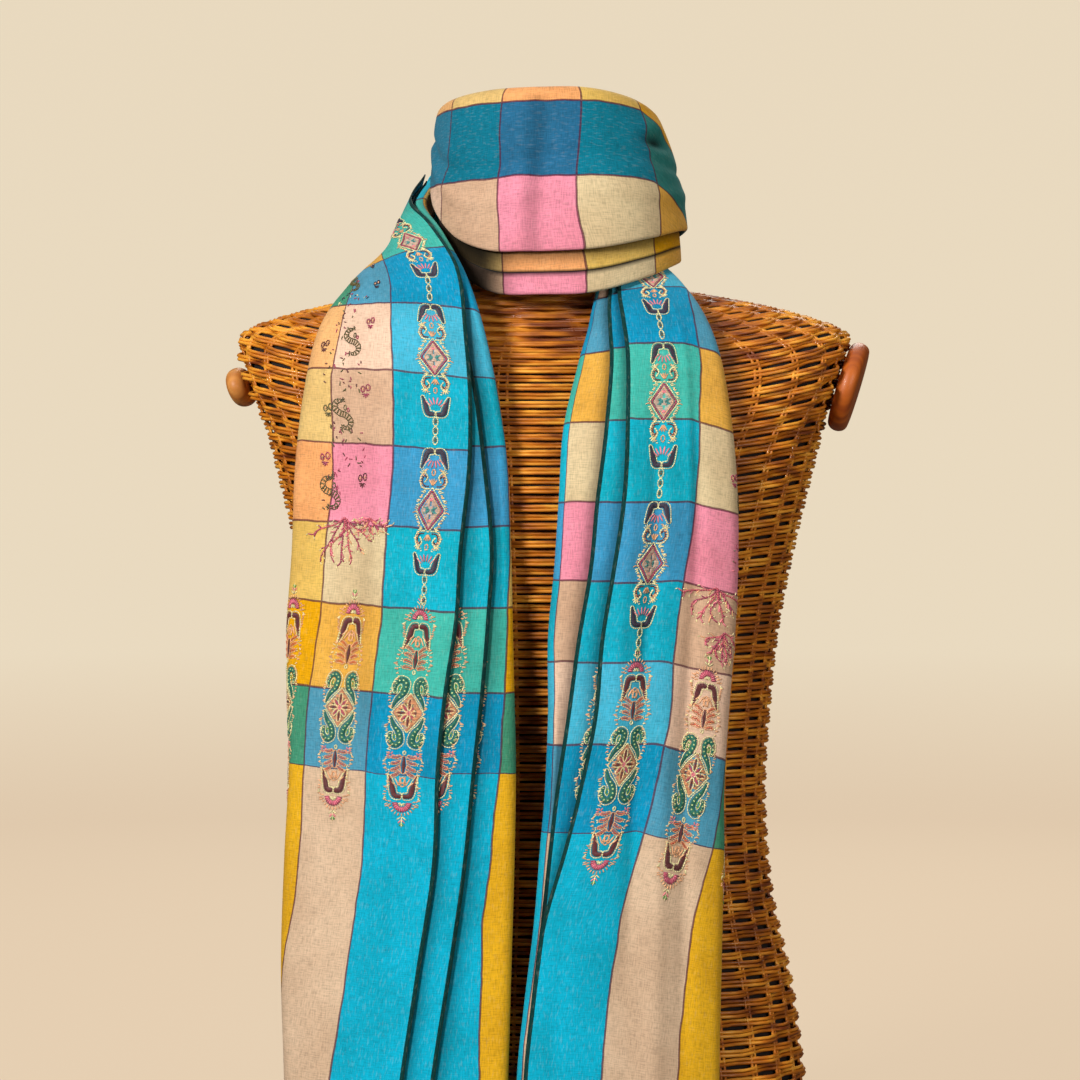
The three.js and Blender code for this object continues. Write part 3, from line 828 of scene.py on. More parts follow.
ORNAMENT_ALONG = 285.0  # middle of the large ornament, from its own hem
CHAIN_ALONG = 411.5  # middle of the first diamond of the chain
CHAIN_PERIOD = 2 * ROW
CHAIN_LINKS = 3
STITCH = 1.5  # length of one stitch of an outline
LIFT = 0.75  # the stitches' height above the middle of the cloth
UNDER = 0.22  # how much lower the filling stitches lie
THREAD = 1.35  # thickness of the thread against the widths in the motifs
EDGE_CLEAR = 0.4  # no stitch comes closer to a leg's edge
SHORTEST = 0.05
OVERLAP = 1.08  # a stitch's own length against the step that it covers
RELIEF = 0.6  # height of a thread against its width
FRONT_OF_LEG = {FRONT_LEG: -1, THIRD_LEG: -1, SECOND_LEG: 1}  # which way the normals face


# A stroke is a path, a width and a colour. A fourth word says that it lies "under" the others or
# that it is "one" single stitch. Motifs are lists of strokes round their own middle, in millimetres.


def mirrored(strokes):
    return strokes + [([(-x, y) for x, y in path], *rest) for path, *rest in strokes]


def flipped(strokes):
    return [([(x, -y) for x, y in path], *rest) for path, *rest in strokes]


def oval(x, y, half_x, half_y, colour, width=0.7, count=10):
    turns = [2 * math.pi * k / count for k in range(count + 1)]
    return ([(x + half_x * math.sin(a), y + half_y * math.cos(a)) for a in turns], width, colour)


def filled(top, bottom, half_at, colour):
    """Straight stitches that lie under a motif, with a half width for each height."""
    made = []
    for y in np.arange(bottom + 0.3, top, 0.85):
        reach = half_at(y)
        if reach > 0.5:
            made.append(([(-reach, y), (reach, y)], 1.0, colour, "under"))
    return made


def rays(x, y, inner, outer, first, last, count, colour, width=0.8):
    """Single straight stitches that fan out round a point, between two angles in degrees."""
    made = []
    for k in range(count):
        a = math.radians(first + (last - first) * k / max(count - 1, 1))
        ends = [(x + r * math.cos(a), y + r * math.sin(a)) for r in (inner, outer)]
        made.append((ends, width, colour))
    return made


def curve(points, steps=6):
    """A smooth path through a few points."""
    table = np.array(points, float)
    at = np.linspace(0, len(table) - 1, steps * (len(table) - 1) + 1)
    return list(zip(column(table[:, 0], at), column(table[:, 1], at)))


def satin(points, halves, colour, pitch=0.62):
    """A filled, curved shape: stitches laid across its spine, with the given half widths."""
    spine = np.array(curve(points, 10))
    run = path_run(spine)
    half = np.interp(np.linspace(0, 1, len(spine)), np.linspace(0, 1, len(halves)), halves)
    made = []
    for spot in np.arange(pitch / 2, run[-1], pitch):
        x, y = (np.interp(spot, run, spine[:, k]) for k in (0, 1))
        ahead = [np.interp(min(spot + 0.4, run[-1]), run, spine[:, k]) for k in (0, 1)]
        behind = [np.interp(max(spot - 0.4, 0), run, spine[:, k]) for k in (0, 1)]
        way = np.array([ahead[0] - behind[0], ahead[1] - behind[1]])
        way = way / (np.linalg.norm(way) + 1e-9)
        reach = np.interp(spot, run, half)
        ends = [(x - way[1] * reach, y + way[0] * reach), (x + way[1] * reach, y - way[0] * reach)]
        made.append((ends, 0.85, colour, "one"))
    return made


def edged(points, halves, colour, rim=CREAM, gap=0.7, pitch=0.62):
    """A satin shape with an outline of another thread round it."""
    spine = np.array(curve(points, 6))
    way = np.gradient(spine, axis=0)
    way = way / (np.linalg.norm(way, axis=1, keepdims=True) + 1e-9)
    side = np.stack([-way[:, 1], way[:, 0]], axis=1)
    half = np.interp(np.linspace(0, 1, len(spine)), np.linspace(0, 1, len(halves)), halves) + gap
    left, right = spine + side * half[:, None], spine - side * half[:, None]
    outline = [tuple(p) for p in np.concatenate([left, right[::-1], left[:1]])]
    return satin(points, halves, colour, pitch) + [(outline, 0.6, rim)]


def beads(points, spacing, colour):
    """Knots in a row along a path."""
    path = np.array(curve(points, 8))
    run = path_run(path)
    made = []
    for spot in np.arange(spacing / 2, run[-1], spacing):
        x, y = (np.interp(spot, run, path[:, k]) for k in (0, 1))
        made.append(([(x - 0.6, y - 0.2), (x + 0.6, y + 0.2)], 1.3, colour, "one"))
    return made


def cup(y, height, half, colour, rays_colour):
    """A cup with two flaring arms that open upwards."""
    arm = [
        (0.4, y), (0.55 * half, y + 0.04 * height), (0.72 * half, y + 0.4 * height),
        (half, y + height),
    ]
    made = mirrored(edged(arm, [1.3, 1.8, 1.7, 0.3], colour))
    return made + rays(0, y + 0.25 * height, 0.28 * height, 0.72 * height, 40, 140, 6, rays_colour)


def paisley_pair():
    """Two curved drops with knots along them, back to back."""
    spine = [(9.6, 12.2), (10.2, 17.0), (7.0, 20.6), (3.6, 18.4), (4.4, 12.8), (8.2, 8.0), (10.8, 2.2)]
    half = edged(spine, [0.5, 1.3, 1.8, 2.0, 1.8, 1.2, 0.3], GREEN)
    half += beads(spine[:6], 2.5, PALE_LEAF)
    half += [oval(7.0, 15.4, 1.2, 1.8, LEAF, 0.7, 8)]
    return mirrored(half)


def rosette():
    """A star of eight petals on a filled diamond."""
    made = filled(12, -12, lambda y: 10.0 * (1 - abs(y) / 12.4), TAN)
    made += [([(0, 12.6), (10.6, 0), (0, -12.6), (-10.6, 0), (0, 12.6)], 0.8, CREAM)]
    for k in range(8):
        a = math.pi / 4 * k
        far = 1.0 if k % 2 == 0 else 0.8
        tip = [(r * math.cos(a) * 0.85 * far, r * math.sin(a) * far) for r in (2.0, 5.0, 9.0)]
        made += edged(tip, [0.2, 0.8, 0.2], MAROON if k % 2 == 0 else ROSE, CREAM, 0.7)
        made += rays(0, 0, 4.4, 7.0, math.degrees(a) + 22, math.degrees(a) + 22, 1, OLIVE, 0.7)
    made += rays(0, 0, 0.2, 1.8, 0, 300, 6, PINK)
    return made


def spindle():
    """A long bud with open leaves on both sides."""
    made = edged([(0, 38.5), (0, 33), (0, 27.5)], [0.3, 1.4, 0.3], MAROON, PEACH, 0.9)
    side = []
    for y, tilt in ((38.6, 2.2), (35.2, 1.4), (31.8, 0.4), (28.6, -0.6)):
        leaf = [(2.0, y - 1.4), (4.8, y + 0.4 * tilt), (7.8, y + tilt)]
        side += edged(leaf, [0.2, 0.5, 0.2], RUST, PEACH, 0.65)
        side += rays(7.8, y + tilt, 0.6, 1.8, -10, 50, 2, CREAM, 0.6)
    made += mirrored(side)
    return made + [oval(0, 42.6, 1.3, 2.2, PEACH), oval(0, 25.2, 1.0, 1.4, CREAM)]


def sunburst(y):
    """Short strokes that fan out upwards from a point."""
    made = rays(0, y, 2.6, 6.4, 5, 175, 12, ROSE, 1.0)
    made += rays(0, y, 2.8, 5.6, 12, 168, 11, PINK, 0.7)
    made += rays(0, y, 6.6, 8.8, -5, 185, 13, PEACH, 0.7)
    made += rays(0, y, 0.6, 2.6, 20, 160, 5, CREAM, 0.7)
    return made


def sprig(y):
    """A straight stem with three pairs of short branches."""
    made = [([(0, y), (0, y + 7)], 0.6, CREAM)]
    for k, (spread, colour) in enumerate(((3.0, CREAM), (2.2, PINK), (1.4, LEAF))):
        made += mirrored([([(0.2, y + 2 * k), (spread, y + 2 * k + 2.0)], 0.7, colour)])
    return made


def ornament():
    """The large ornament, made to be almost the same from its middle to both ends."""
    upper = paisley_pair() + spindle()
    ends = sunburst(57) + sprig(66)
    foot = cup(-53, 13.5, 8.6, MAROON, PEACH)
    made = rosette() + upper + flipped(upper) + flipped(foot) + foot + ends + flipped(ends)
    made += [oval(0, 44.0, 2.0, 3.0, PEACH), oval(0, -44.0, 2.0, 3.0, PEACH)]
    made += mirrored(rays(8.6, -27, 0.6, 2.6, 0, 300, 6, PINK, 0.7))
    return made + fuzz(60, lambda y: 10.4 - 1.4 * math.cos(y / 3.4) - 0.05 * y, 11)


def fuzz(reach_y, half_at, seed):
    """Short loose strokes along both sides of a motif, up to a height above and below its middle."""
    pick = random.Random(seed)
    made = []
    for y in np.arange(-reach_y, reach_y + 0.1, 1.2):
        x = half_at(abs(y)) + pick.uniform(0.2, 1.0)
        end = (x + pick.uniform(1.2, 2.8), y + pick.uniform(-1.4, 1.4))
        made += mirrored([([(x, y), end], 0.6, pick.choice((CREAM, PEACH, PEACH)))])
    return made


def chain_link():
    """One repeat of the chain: tulip, curls, diamond, curls, cup and linked ovals."""
    diamond = [(0, 12.4), (8.2, 0), (0, -12.4), (-8.2, 0), (0, 12.4)]
    made = filled(11, -11, lambda y: 7.4 * (1 - abs(y) / 11.6), FAWN)
    made += [(diamond, 1.15, ROSE)]
    made += [([(x * 1.2, y * 1.15) for x, y in diamond], 0.7, CREAM)]
    for x, y in ((5.6, 7.4), (7.6, 4.4), (3.6, 10.4)):
        made += mirrored(rays(x, y, 0.8, 2.8, 20, 60, 2, CREAM, 0.6))
        made += mirrored(rays(x, -y, 0.8, 2.8, -60, -20, 2, CREAM, 0.6))
    made += [([(x * 0.74, y * 0.78) for x, y in diamond], 0.6, PEACH)]
    for a in (25, 155, 205, 335):
        tip = [(r * math.cos(math.radians(a)), r * math.sin(math.radians(a))) for r in (0.6, 2.6, 5.0)]
        made += satin(tip, [0.3, 1.0, 0.3], TEAL)
    made += rays(0, 5.4, 0.4, 2.6, 60, 120, 3, PINK) + rays(0, -5.4, 0.4, 2.6, 240, 300, 3, PINK)
    curl = curve([(1.6, 13.4), (6.4, 13.8), (8.8, 18.4), (6.4, 23.6), (3.4, 20.6), (5.4, 17.2)], 4)
    inner = curve([(2.4, 15.0), (5.6, 15.2), (7.2, 18.4), (5.8, 21.8), (4.4, 20.0)], 4)
    pair = mirrored([(curl, 0.95, CREAM), (inner, 0.8, MAROON)])
    pair += rays(0, 15.0, 0.5, 5.0, 60, 120, 4, PEACH, 0.8)
    pair += mirrored(rays(6.0, 22.6, 0.8, 3.4, 20, 110, 4, CREAM, 0.6))
    pair += [oval(0, 23.6, 1.2, 2.2, PEACH, 0.7, 8)]
    made += pair + flipped(pair)
    made += flipped(cup(-37.5, 11.5, 8.4, NAVY, PINK))
    made += cup(-39.5, 12.0, 8.6, NAVY, PINK)
    made += fuzz(26, lambda y: 9.4 - 0.45 * y if y < 12 else 6.6 - 0.5 * abs(y - 18), 4)
    for y in (-44.5, -51.0, -57.8):
        made += [oval(0, y, 1.6, 3.2, CREAM, 0.7), oval(0, y, 0.6, 1.7, OLIVE, 0.6, 6)]
    return made


def hook():
    """A double curl with rungs across it, like an S, and a few grains beside it."""
    spine = [
        (-1.0, 9.4), (-5.2, 8.6), (-7.0, 4.4), (-3.4, 1.2), (2.8, -0.6), (6.6, -4.6), (4.6, -8.8),
        (0.2, -9.0),
    ]
    made = edged(spine, [0.5, 1.3, 1.6, 1.6, 1.6, 1.6, 1.3, 0.5], MOSS, DARK_MOSS, 0.3, 2.3)
    made += rays(-0.4, 9.6, 0.4, 2.4, -20, 90, 3, DARK_MOSS, 0.7)
    made += rays(-0.6, -9.0, 0.4, 2.4, 120, 240, 3, DARK_MOSS, 0.7)
    return made + [oval(1.8, 4.8, 1.3, 1.9, OLIVE, 0.6, 6), oval(4.6, 3.2, 1.1, 1.6, ROSE, 0.6, 6)]


def floret(colour):
    """Two round heads on a short stem with small strokes below."""
    made = [oval(2.0, 1.6, 1.8, 2.4, colour, 0.7, 8), oval(-2.2, 0.6, 1.6, 2.2, colour, 0.7, 8)]
    made += [([(2.0, 0.6), (2.0, 2.4)], 1.0, PEACH), ([(-2.2, -0.2), (-2.2, 1.4)], 1.0, PEACH)]
    return made + rays(0, -2.4, 0.3, 3.0, 190, 350, 5, colour, 0.7)


def scatter(half_x, half_y, count, colours, seed):
    """Small loose strokes in a patch."""
    pick = random.Random(seed)
    made = []
    for k in range(count):
        x, y = pick.uniform(-half_x, half_x), pick.uniform(-half_y, half_y)
        a = pick.uniform(0, math.pi)
        reach = pick.uniform(0.9, 1.9)
        dx, dy = reach * math.cos(a), reach * math.sin(a)
        made.append(([(x - dx, y - dy), (x + dx, y + dy)], 0.65, colours[k % len(colours)]))
    return made


def plume(spread, reach, seed):
    """A spray of forked branches that hangs from one point."""
    pick = random.Random(seed)
    made = []
    for k in range(7):
        share = k / 3 - 1
        tip = (spread * share, -reach * (1 - 0.62 * share * share) * pick.uniform(0.8, 1.1))
        bend = pick.uniform(-2.5, 2.5)
        low_bend = (tip[0] * 0.3 + bend, tip[1] * 0.36)
        high_bend = (tip[0] * 0.75 - bend, tip[1] * 0.7)
        path = curve([(0, 0), low_bend, high_bend, tip], 5)
        made.append((path, 1.05, ROSE if k % 2 else CORAL))
        for spot in range(3, len(path), 2):
            (x, y), (back_x, back_y) = path[spot], path[spot - 1]
            a = math.atan2(y - back_y, x - back_x) + pick.choice((-1, 1)) * pick.uniform(0.5, 0.9)
            far = pick.uniform(2.6, 5.4)
            fork = (x + far * math.cos(a), y + far * math.sin(a))
            made.append(([(x, y), fork], 0.75, pick.choice((ROSE, PINK, PEACH))))
            end = (fork[0] + 1.8 * math.cos(a + 0.7), fork[1] + 1.8 * math.sin(a + 0.7))
            made.append(([fork, end], 0.6, CREAM))
    return made


def stitches_of(strokes):
    """Cuts strokes into single stitches: two ends, a width and a colour each."""
    made = []
    for path, width, colour, *kind in strokes:
        low = kind == ["under"]
        if kind == ["one"] or len(path) == 2 and not low:
            made.append((path[0], path[-1], width, colour, 0.0))
            continue
        points = np.array(path, float)
        run = path_run(points)
        count = max(1, round(run[-1] / (3 * STITCH if low else STITCH)))
        spots = np.linspace(0, run[-1], count + 1)
        xs, ys = np.interp(spots, run, points[:, 0]), np.interp(spots, run, points[:, 1])
        drop = UNDER if low else 0.0
        ends = list(zip(xs, ys))
        made.extend((a, b, width, colour, drop) for a, b in zip(ends, ends[1:]))
    return made


def on_cloth(cloth, leg, u, v, up, strokes, seed):
    """Lays strokes on a leg of the cloth, with their middle at u, v.

    Stitches off the leg are left out. Each stitch comes as its middle, its direction, the cloth's
    normal, its length, its thickness and its colour."""
    pick = random.Random(seed)
    owned = cloth.owner == leg
    made = []
    for (x0, y0), (x1, y1), width, colour, drop in stitches_of(strokes):
        uv = [(u + x0 * cloth.hand, v + y0 * up), (u + x1 * cloth.hand, v + y1 * up)]
        middle_v = (uv[0][1] + uv[1][1]) / 2
        row = int(np.argmin(np.abs(cloth.v[:, 0] - middle_v)))
        span = cloth.u[row, owned]
        if not all(span.min() + EDGE_CLEAR < a < span.max() - EDGE_CLEAR for a, _ in uv):
            continue
        if not all(cloth.v.min() + 1 < b < cloth.v.max() - 1 for _, b in uv):
            continue
        ends = [cloth.surface(leg, a, b) for a, b in uv]
        normal = ends[0][3] * FRONT_OF_LEG[leg]
        way = ends[1][0] - ends[0][0]
        length = np.linalg.norm(way)
        if length < SHORTEST:
            continue
        middle = (ends[0][0] + ends[1][0]) / 2 + normal * (LIFT - drop)
        shade = pick.uniform(0.88, 1.08)
        thickness = THREAD * width * pick.uniform(0.9, 1.12)
        tint = tuple(min(255, c * shade) for c in colour)
        made.append((middle, way / length, normal, OVERLAP * length, thickness, tint))
    return made


def stitch_grain():
    """A short rounded thread of length and width 1, lying along X."""
    ends = [(-0.5, 0, 0), (0.5, 0, 0)]
    angles = [math.radians(a) for a in (90, 210, 330)]
    rings = [(x, 0.55 * math.cos(a), 0.5 * math.sin(a)) for x in (-0.3, 0.3) for a in angles]
    faces = []
    for q in range(3):
        a, b = 2 + q, 2 + (q + 1) % 3
        faces += [(0, b, a), (a, b, b + 3, a + 3), (1, a + 3, b + 3)]
    grain = new_object("stitch_grain", ends + rings, faces)
    grain.data.polygons.foreach_set("use_smooth", [True] * len(faces))
    return grain


def stitch_tree(grain, material, relief):
    """Geometry nodes that lay one grain on every point, turned and sized by the point."""
    tree = bpy.data.node_groups.new("stitches", "GeometryNodeTree")
    tree.interface.new_socket("Geometry", in_out="INPUT", socket_type="NodeSocketGeometry")
    tree.interface.new_socket("Relief", in_out="INPUT", socket_type="NodeSocketFloat")
    tree.interface.new_socket("Geometry", in_out="OUTPUT", socket_type="NodeSocketGeometry")
    t = Tree(tree)
    source, sink = t.node("NodeGroupInput"), t.node("NodeGroupOutput")

    def named(label, kind):
        made = t.node("GeometryNodeInputNamedAttribute", data_type=kind)
        made.inputs["Name"].default_value = label
        return made.outputs["Attribute"]

    turn = t.node("FunctionNodeAxesToRotation", primary_axis="Z", secondary_axis="X")
    t.link(named("normal_way", "FLOAT_VECTOR"), turn.inputs[0])
    t.link(named("thread_way", "FLOAT_VECTOR"), turn.inputs[1])
    size = t.node("ShaderNodeCombineXYZ")
    width = named("thread_width", "FLOAT")
    t.link(named("thread_length", "FLOAT"), size.inputs[0])
    t.link(width, size.inputs[1])
    t.link(t.math("MULTIPLY", width, source.outputs["Relief"]), size.inputs[2])
    thread = t.node("GeometryNodeObjectInfo")
    thread.inputs["Object"].default_value = grain
    lay = t.node("GeometryNodeInstanceOnPoints")
    real = t.node("GeometryNodeRealizeInstances")
    paint = t.node("GeometryNodeSetMaterial")
    paint.inputs["Material"].default_value = material
    t.link(source.outputs["Geometry"], lay.inputs["Points"])
    t.link(thread.outputs["Geometry"], lay.inputs["Instance"])
    t.link(turn.outputs[0], lay.inputs["Rotation"])
    t.link(size.outputs[0], lay.inputs["Scale"])
    t.link(lay.outputs["Instances"], real.inputs["Geometry"])
    t.link(real.outputs["Geometry"], paint.inputs["Geometry"])
    t.link(paint.outputs["Geometry"], sink.inputs["Geometry"])
    return tree, {"Relief": relief}


def sew(name, stitches, grain, material):
    """One mesh of all the stitches on a stretch of cloth."""
    points = new_object(name + "_points", [s[0] * MM for s in stitches], [])
    columns = (
        ("thread_way", "FLOAT_VECTOR", "vector", [s[1] for s in stitches]),
        ("normal_way", "FLOAT_VECTOR", "vector", [s[2] for s in stitches]),
        ("thread_length", "FLOAT", "value", [s[3] * MM for s in stitches]),
        ("thread_width", "FLOAT", "value", [s[4] * MM for s in stitches]),
        ("tint", "FLOAT_COLOR", "color", [linear(*s[5]) for s in stitches]),
    )
    for label, kind, field, values in columns:
        layer = points.data.attributes.new(label, kind, "POINT")
        layer.data.foreach_set(field, np.array(values, float).ravel())
    tree, values = stitch_tree(grain, material, RELIEF)
    return grown(name, points, tree, values)


def thread_material():
    material, t, shader = new_material("silk_thread")
    tint = t.node("ShaderNodeAttribute", attribute_name="tint")
    t.link(tint.outputs["Color"], shader.inputs["Base Color"])
    shader.inputs["Roughness"].default_value = 0.5
    shader.inputs["Sheen Weight"].default_value = 0.15
    return material


# What is sewn on each tail: leg, u, distance from its own hem, and the motif.


def left_sewing():
    big, link = ornament(), chain_link()
    work = [(FRONT_LEG, u, ORNAMENT_ALONG, big) for u in (25, 75, 125)]
    work += [(SECOND_LEG, 625, ORNAMENT_ALONG, big), (THIRD_LEG, 325, ORNAMENT_ALONG, big)]
    front = [(23, CHAIN_ALONG + CHAIN_PERIOD * k, link) for k in range(CHAIN_LINKS)]
    front += [(86, 523, hook()), (91, 471, hook()), (100, 418, hook())]
    front += [(70, 538, floret(ROSE)), (72, 488, floret(ROSE)), (74, 428, floret(MAROON))]
    front += [(103, 474, floret(OLIVE)), (106, 440, floret(ROSE)), (66, 574, floret(NAVY))]
    front += [(87, 403, plume(24, 34, 5)), (98, 580, hook()), (112, 520, floret(MAROON))]
    front += [(70, 604, floret(NAVY)), (64, 404, plume(13, 12, 9))]
    patches = ((96, 536), (98, 505), (99, 452), (101, 420), (84, 498), (80, 448))
    for k, (u, v) in enumerate(patches):
        front.append((u, v, scatter(9, 13, 15, (OLIVE, ROSE, MAROON), k)))
    front.append((92, 560, scatter(18, 8, 18, (NAVY, CREAM, ROSE), 8)))
    return work + [(FRONT_LEG, *sewn) for sewn in front]


def right_sewing():
    big, link = ornament(), chain_link()
    work = [(FRONT_LEG, u, ORNAMENT_ALONG, big) for u in (25, 75, 125)]
    work += [(THIRD_LEG, 375, ORNAMENT_ALONG, big), (SECOND_LEG, 625, ORNAMENT_ALONG, big)]
    front = [(25, CHAIN_ALONG + CHAIN_PERIOD * k, link) for k in range(CHAIN_LINKS)]
    front += [(74, 400, plume(24, 20, 3)), (84, 374, plume(13, 20, 6))]
    front += [(78, 470, floret(ROSE)), (92, 452, hook())]
    front += [(98, 412, floret(MAROON)), (96, 505, floret(ROSE)), (90, 545, hook())]
    for k, (u, v) in enumerate(((90, 424), (97, 478), (94, 520))):
        front.append((u, v, scatter(8, 14, 13, (OLIVE, ROSE, PINK), 20 + k)))
    return work + [(FRONT_LEG, *sewn) for sewn in front]


def embroider(cloth, work, grain, material):
    """Sews every motif of the list on a tail."""
    made = []
    for k, (leg, u, from_hem, strokes) in enumerate(work):
        v, up = (from_hem, 1) if cloth.hand < 0 else (CLOTH_LENGTH - from_hem, -1)
        made += on_cloth(cloth, leg, u, v, up, strokes, k)
    return sew(cloth.name + "_embroidery", made, grain, material)


# ---- the wicker form ---------------------------------------------------------------------

# Rings from the base up: height at the breast bone, height over the shoulder, half width,
# depth to the front, depth to the back.
FORM_RINGS = np.array([
    (0, 0, 171, 104, 106), (30, 30, 178, 108, 111), (72, 72, 181, 110, 113),
    (122, 122, 176, 107, 109), (172, 172, 169, 101, 99), (232, 232, 156, 93, 85),
    (296, 296, 151, 89, 77), (352, 354, 154, 93, 79), (406, 410, 160, 100, 84),
    (452, 462, 170, 107, 91), (494, 512, 182, 110, 96), (524, 545, 191, 107, 98),
    (546, 574, 205, 101, 96), (566, 597, 211, 93, 91), (582, 611, 206, 84, 84),
    (597, 620, 184, 75, 76), (610, 628, 154, 66, 67), (622, 634, 122, 58, 60),
    (634, 640, 88, 52, 54), (646, 648, 60, 48, 50), (662, 662, 49, 46, 48),
    (695, 695, 47, 45, 46), (728, 728, 47, 45, 46),
], float)
FORM_SQUARENESS = 0.86
FORM_CLIMB = 2.5
ARM_TILT = math.radians(17)
ARM_TURN = math.radians(8)
ARM_CENTRE = np.array([200.0, 0.0, 576.0])
ARM_LOW = 541.0  # the flat arm ends begin at this height
ARM_GAP = 0.3  # between an arm end and its cap
STAKES = 32
REED = 1.25  # radius of a reed
STAKE = 1.15
ROUND_EDGE = 5.0  # radius of the arm caps' round edge
SWING = 3.0  # how far a reed swings in and out round the stakes
BAND_PITCH = 6.3  # height of one band of two reeds
SPACING_ANGLE = math.radians(-50)  # the bands are evenly spaced here, between side and front
RIB_STEPS = 1500  # for measuring the surface from the base to the neck
STEPS_PER_STAKE = 3
STAKE_HALF_GAP = 0.012  # in radians, from the middle of a pair of stakes to each of them


def form_surface(row, angle, inset):
    """Points of the torso at a fractional ring number, moved inwards by inset."""
    front, side, half, chest, back = (column(FORM_RINGS[:, k], row) for k in range(5))
    c, s = np.cos(angle), np.sin(angle)
    x = (half - inset) * np.sign(c) * np.abs(c) ** FORM_SQUARENESS
    y = (np.where(s < 0, chest, back) - inset) * np.sign(s) * np.abs(s) ** FORM_SQUARENESS
    z = front + (side - front) * np.abs(c) ** FORM_CLIMB
    points = np.stack([x, y, z], axis=-1)
    for sign in (-1, 1):
        out = np.array([
            sign * math.cos(ARM_TILT) * math.cos(ARM_TURN),
            -sign * math.cos(ARM_TILT) * math.sin(ARM_TURN),
            -math.sin(ARM_TILT),
        ])
        centre = ARM_CENTRE * (sign, 1, 1)
        over = np.maximum((points - centre) @ out + inset, 0) * (points[..., 2] > ARM_LOW)
        points = points - over[..., None] * out
    return points


def reed_paths(first, last):
    """Centre lines of the reeds, two to a band, in and out of the stakes.

    The bands are spaced along the surface. first and last are shares of the way up it."""
    rows = np.linspace(0, len(FORM_RINGS) - 1, RIB_STEPS)
    run = path_run(form_surface(rows, np.full(len(rows), SPACING_ANGLE), 0))
    steps = STAKES * STEPS_PER_STAKE
    angle = np.linspace(0, 2 * math.pi, steps, endpoint=False)
    bands = int(run[-1] / BAND_PITCH)
    paths = []
    for band in range(int(first * bands), int(last * bands)):
        phase = 0 if band % 2 else math.pi
        swing = SWING * np.cos(angle * STAKES / 2 + phase)
        for reed in (-1, 1):
            spot = (band + 0.5) * BAND_PITCH + reed * REED * 1.02
            row = np.full(steps, np.interp(spot, run, rows))
            paths.append(form_surface(row, angle, REED + SWING - swing))
    return paths


def stake_paths():
    """Centre lines of the upright stakes, in pairs."""
    paths = []
    rows = np.linspace(0, len(FORM_RINGS) - 1, 90)
    for stake in range(STAKES):
        for side in (-1, 1):
            angle = 2 * math.pi * (stake + 0.5) / STAKES + side * STAKE_HALF_GAP
            paths.append(form_surface(rows, np.full(len(rows), angle), REED + SWING + 0.4))
    return paths


def tube_tree(name, radius, sides, material):
    """Geometry nodes that turn edges into round rods."""
    tree = bpy.data.node_groups.new(name, "GeometryNodeTree")
    tree.interface.new_socket("Geometry", in_out="INPUT", socket_type="NodeSocketGeometry")
    tree.interface.new_socket("Radius", in_out="INPUT", socket_type="NodeSocketFloat")
    tree.interface.new_socket("Sides", in_out="INPUT", socket_type="NodeSocketInt")
    tree.interface.new_socket("Geometry", in_out="OUTPUT", socket_type="NodeSocketGeometry")
    t = Tree(tree)
    source, sink = t.node("NodeGroupInput"), t.node("NodeGroupOutput")
    lines = t.node("GeometryNodeMeshToCurve")
    ring = t.node("GeometryNodeCurvePrimitiveCircle")
    tube = t.node("GeometryNodeCurveToMesh")
    smooth = t.node("GeometryNodeSetShadeSmooth")
    real = t.node("GeometryNodeRealizeInstances")
    paint = t.node("GeometryNodeSetMaterial")
    paint.inputs["Material"].default_value = material
    tube.inputs["Fill Caps"].default_value = True
    t.link(source.outputs["Geometry"], lines.inputs["Mesh"])
    t.link(source.outputs["Radius"], ring.inputs["Radius"])
    t.link(source.outputs["Sides"], ring.inputs["Resolution"])
    t.link(lines.outputs[0], tube.inputs["Curve"])
    t.link(ring.outputs["Curve"], tube.inputs["Profile Curve"])
    t.link(tube.outputs["Mesh"], smooth.inputs["Geometry"])
    t.link(smooth.outputs["Geometry"], real.inputs["Geometry"])
    t.link(real.outputs["Geometry"], paint.inputs["Geometry"])
    t.link(paint.outputs["Geometry"], sink.inputs["Geometry"])
    return tree, {"Radius": radius, "Sides": sides}


def grown(name, obj, tree, values):
    """Runs a geometry node tree on an object and keeps the result as a plain mesh."""
    modifier = obj.modifiers.new("grow", "NODES")
    modifier.node_group = tree
    for item in tree.interface.items_tree:
        if item.in_out == "INPUT" and item.name in values:
            modifier[item.identifier] = values[item.name]
    obj.update_tag()
    graph = bpy.context.evaluated_depsgraph_get()
    graph.update()
    mesh = bpy.data.meshes.new_from_object(obj.evaluated_get(graph), depsgraph=graph)
    mesh.name = name
    made = bpy.data.objects.new(name, mesh)
    bpy.context.scene.collection.objects.link(made)
    bpy.data.objects.remove(obj)
    return made


def rods(name, paths, closed, radius, sides, material):
    """One mesh of round rods along paths."""
    vertices, edges = [], []
    for path in paths:
        start = len(vertices)
        vertices.extend(path * MM)
        edges.extend((start + k, start + k + 1) for k in range(len(path) - 1))
        if closed:
            edges.append((start + len(path) - 1, start))
    lines = new_object(name + "_lines", vertices, [], edges)
    tree, values = tube_tree(name, radius * MM, sides, material)
    return grown(name, lines, tree, values)


def lofted(name, rings, material):
    """A closed body through rings of points."""
    count = len(rings[0])
    bottom = tuple(range(count - 1, -1, -1))
    top = tuple((len(rings) - 1) * count + k for k in range(count))
    faces = [bottom, top]
    for i in range(len(rings) - 1):
        for j in range(count):
            a, b = i * count + j, i * count + (j + 1) % count
            faces.append((a, b, b + count, a + count))
    obj = new_object(name, np.concatenate(rings) * MM, faces)
    obj.data.polygons.foreach_set("use_smooth", [True] * len(obj.data.polygons))
    obj.data.materials.append(material)
    return obj


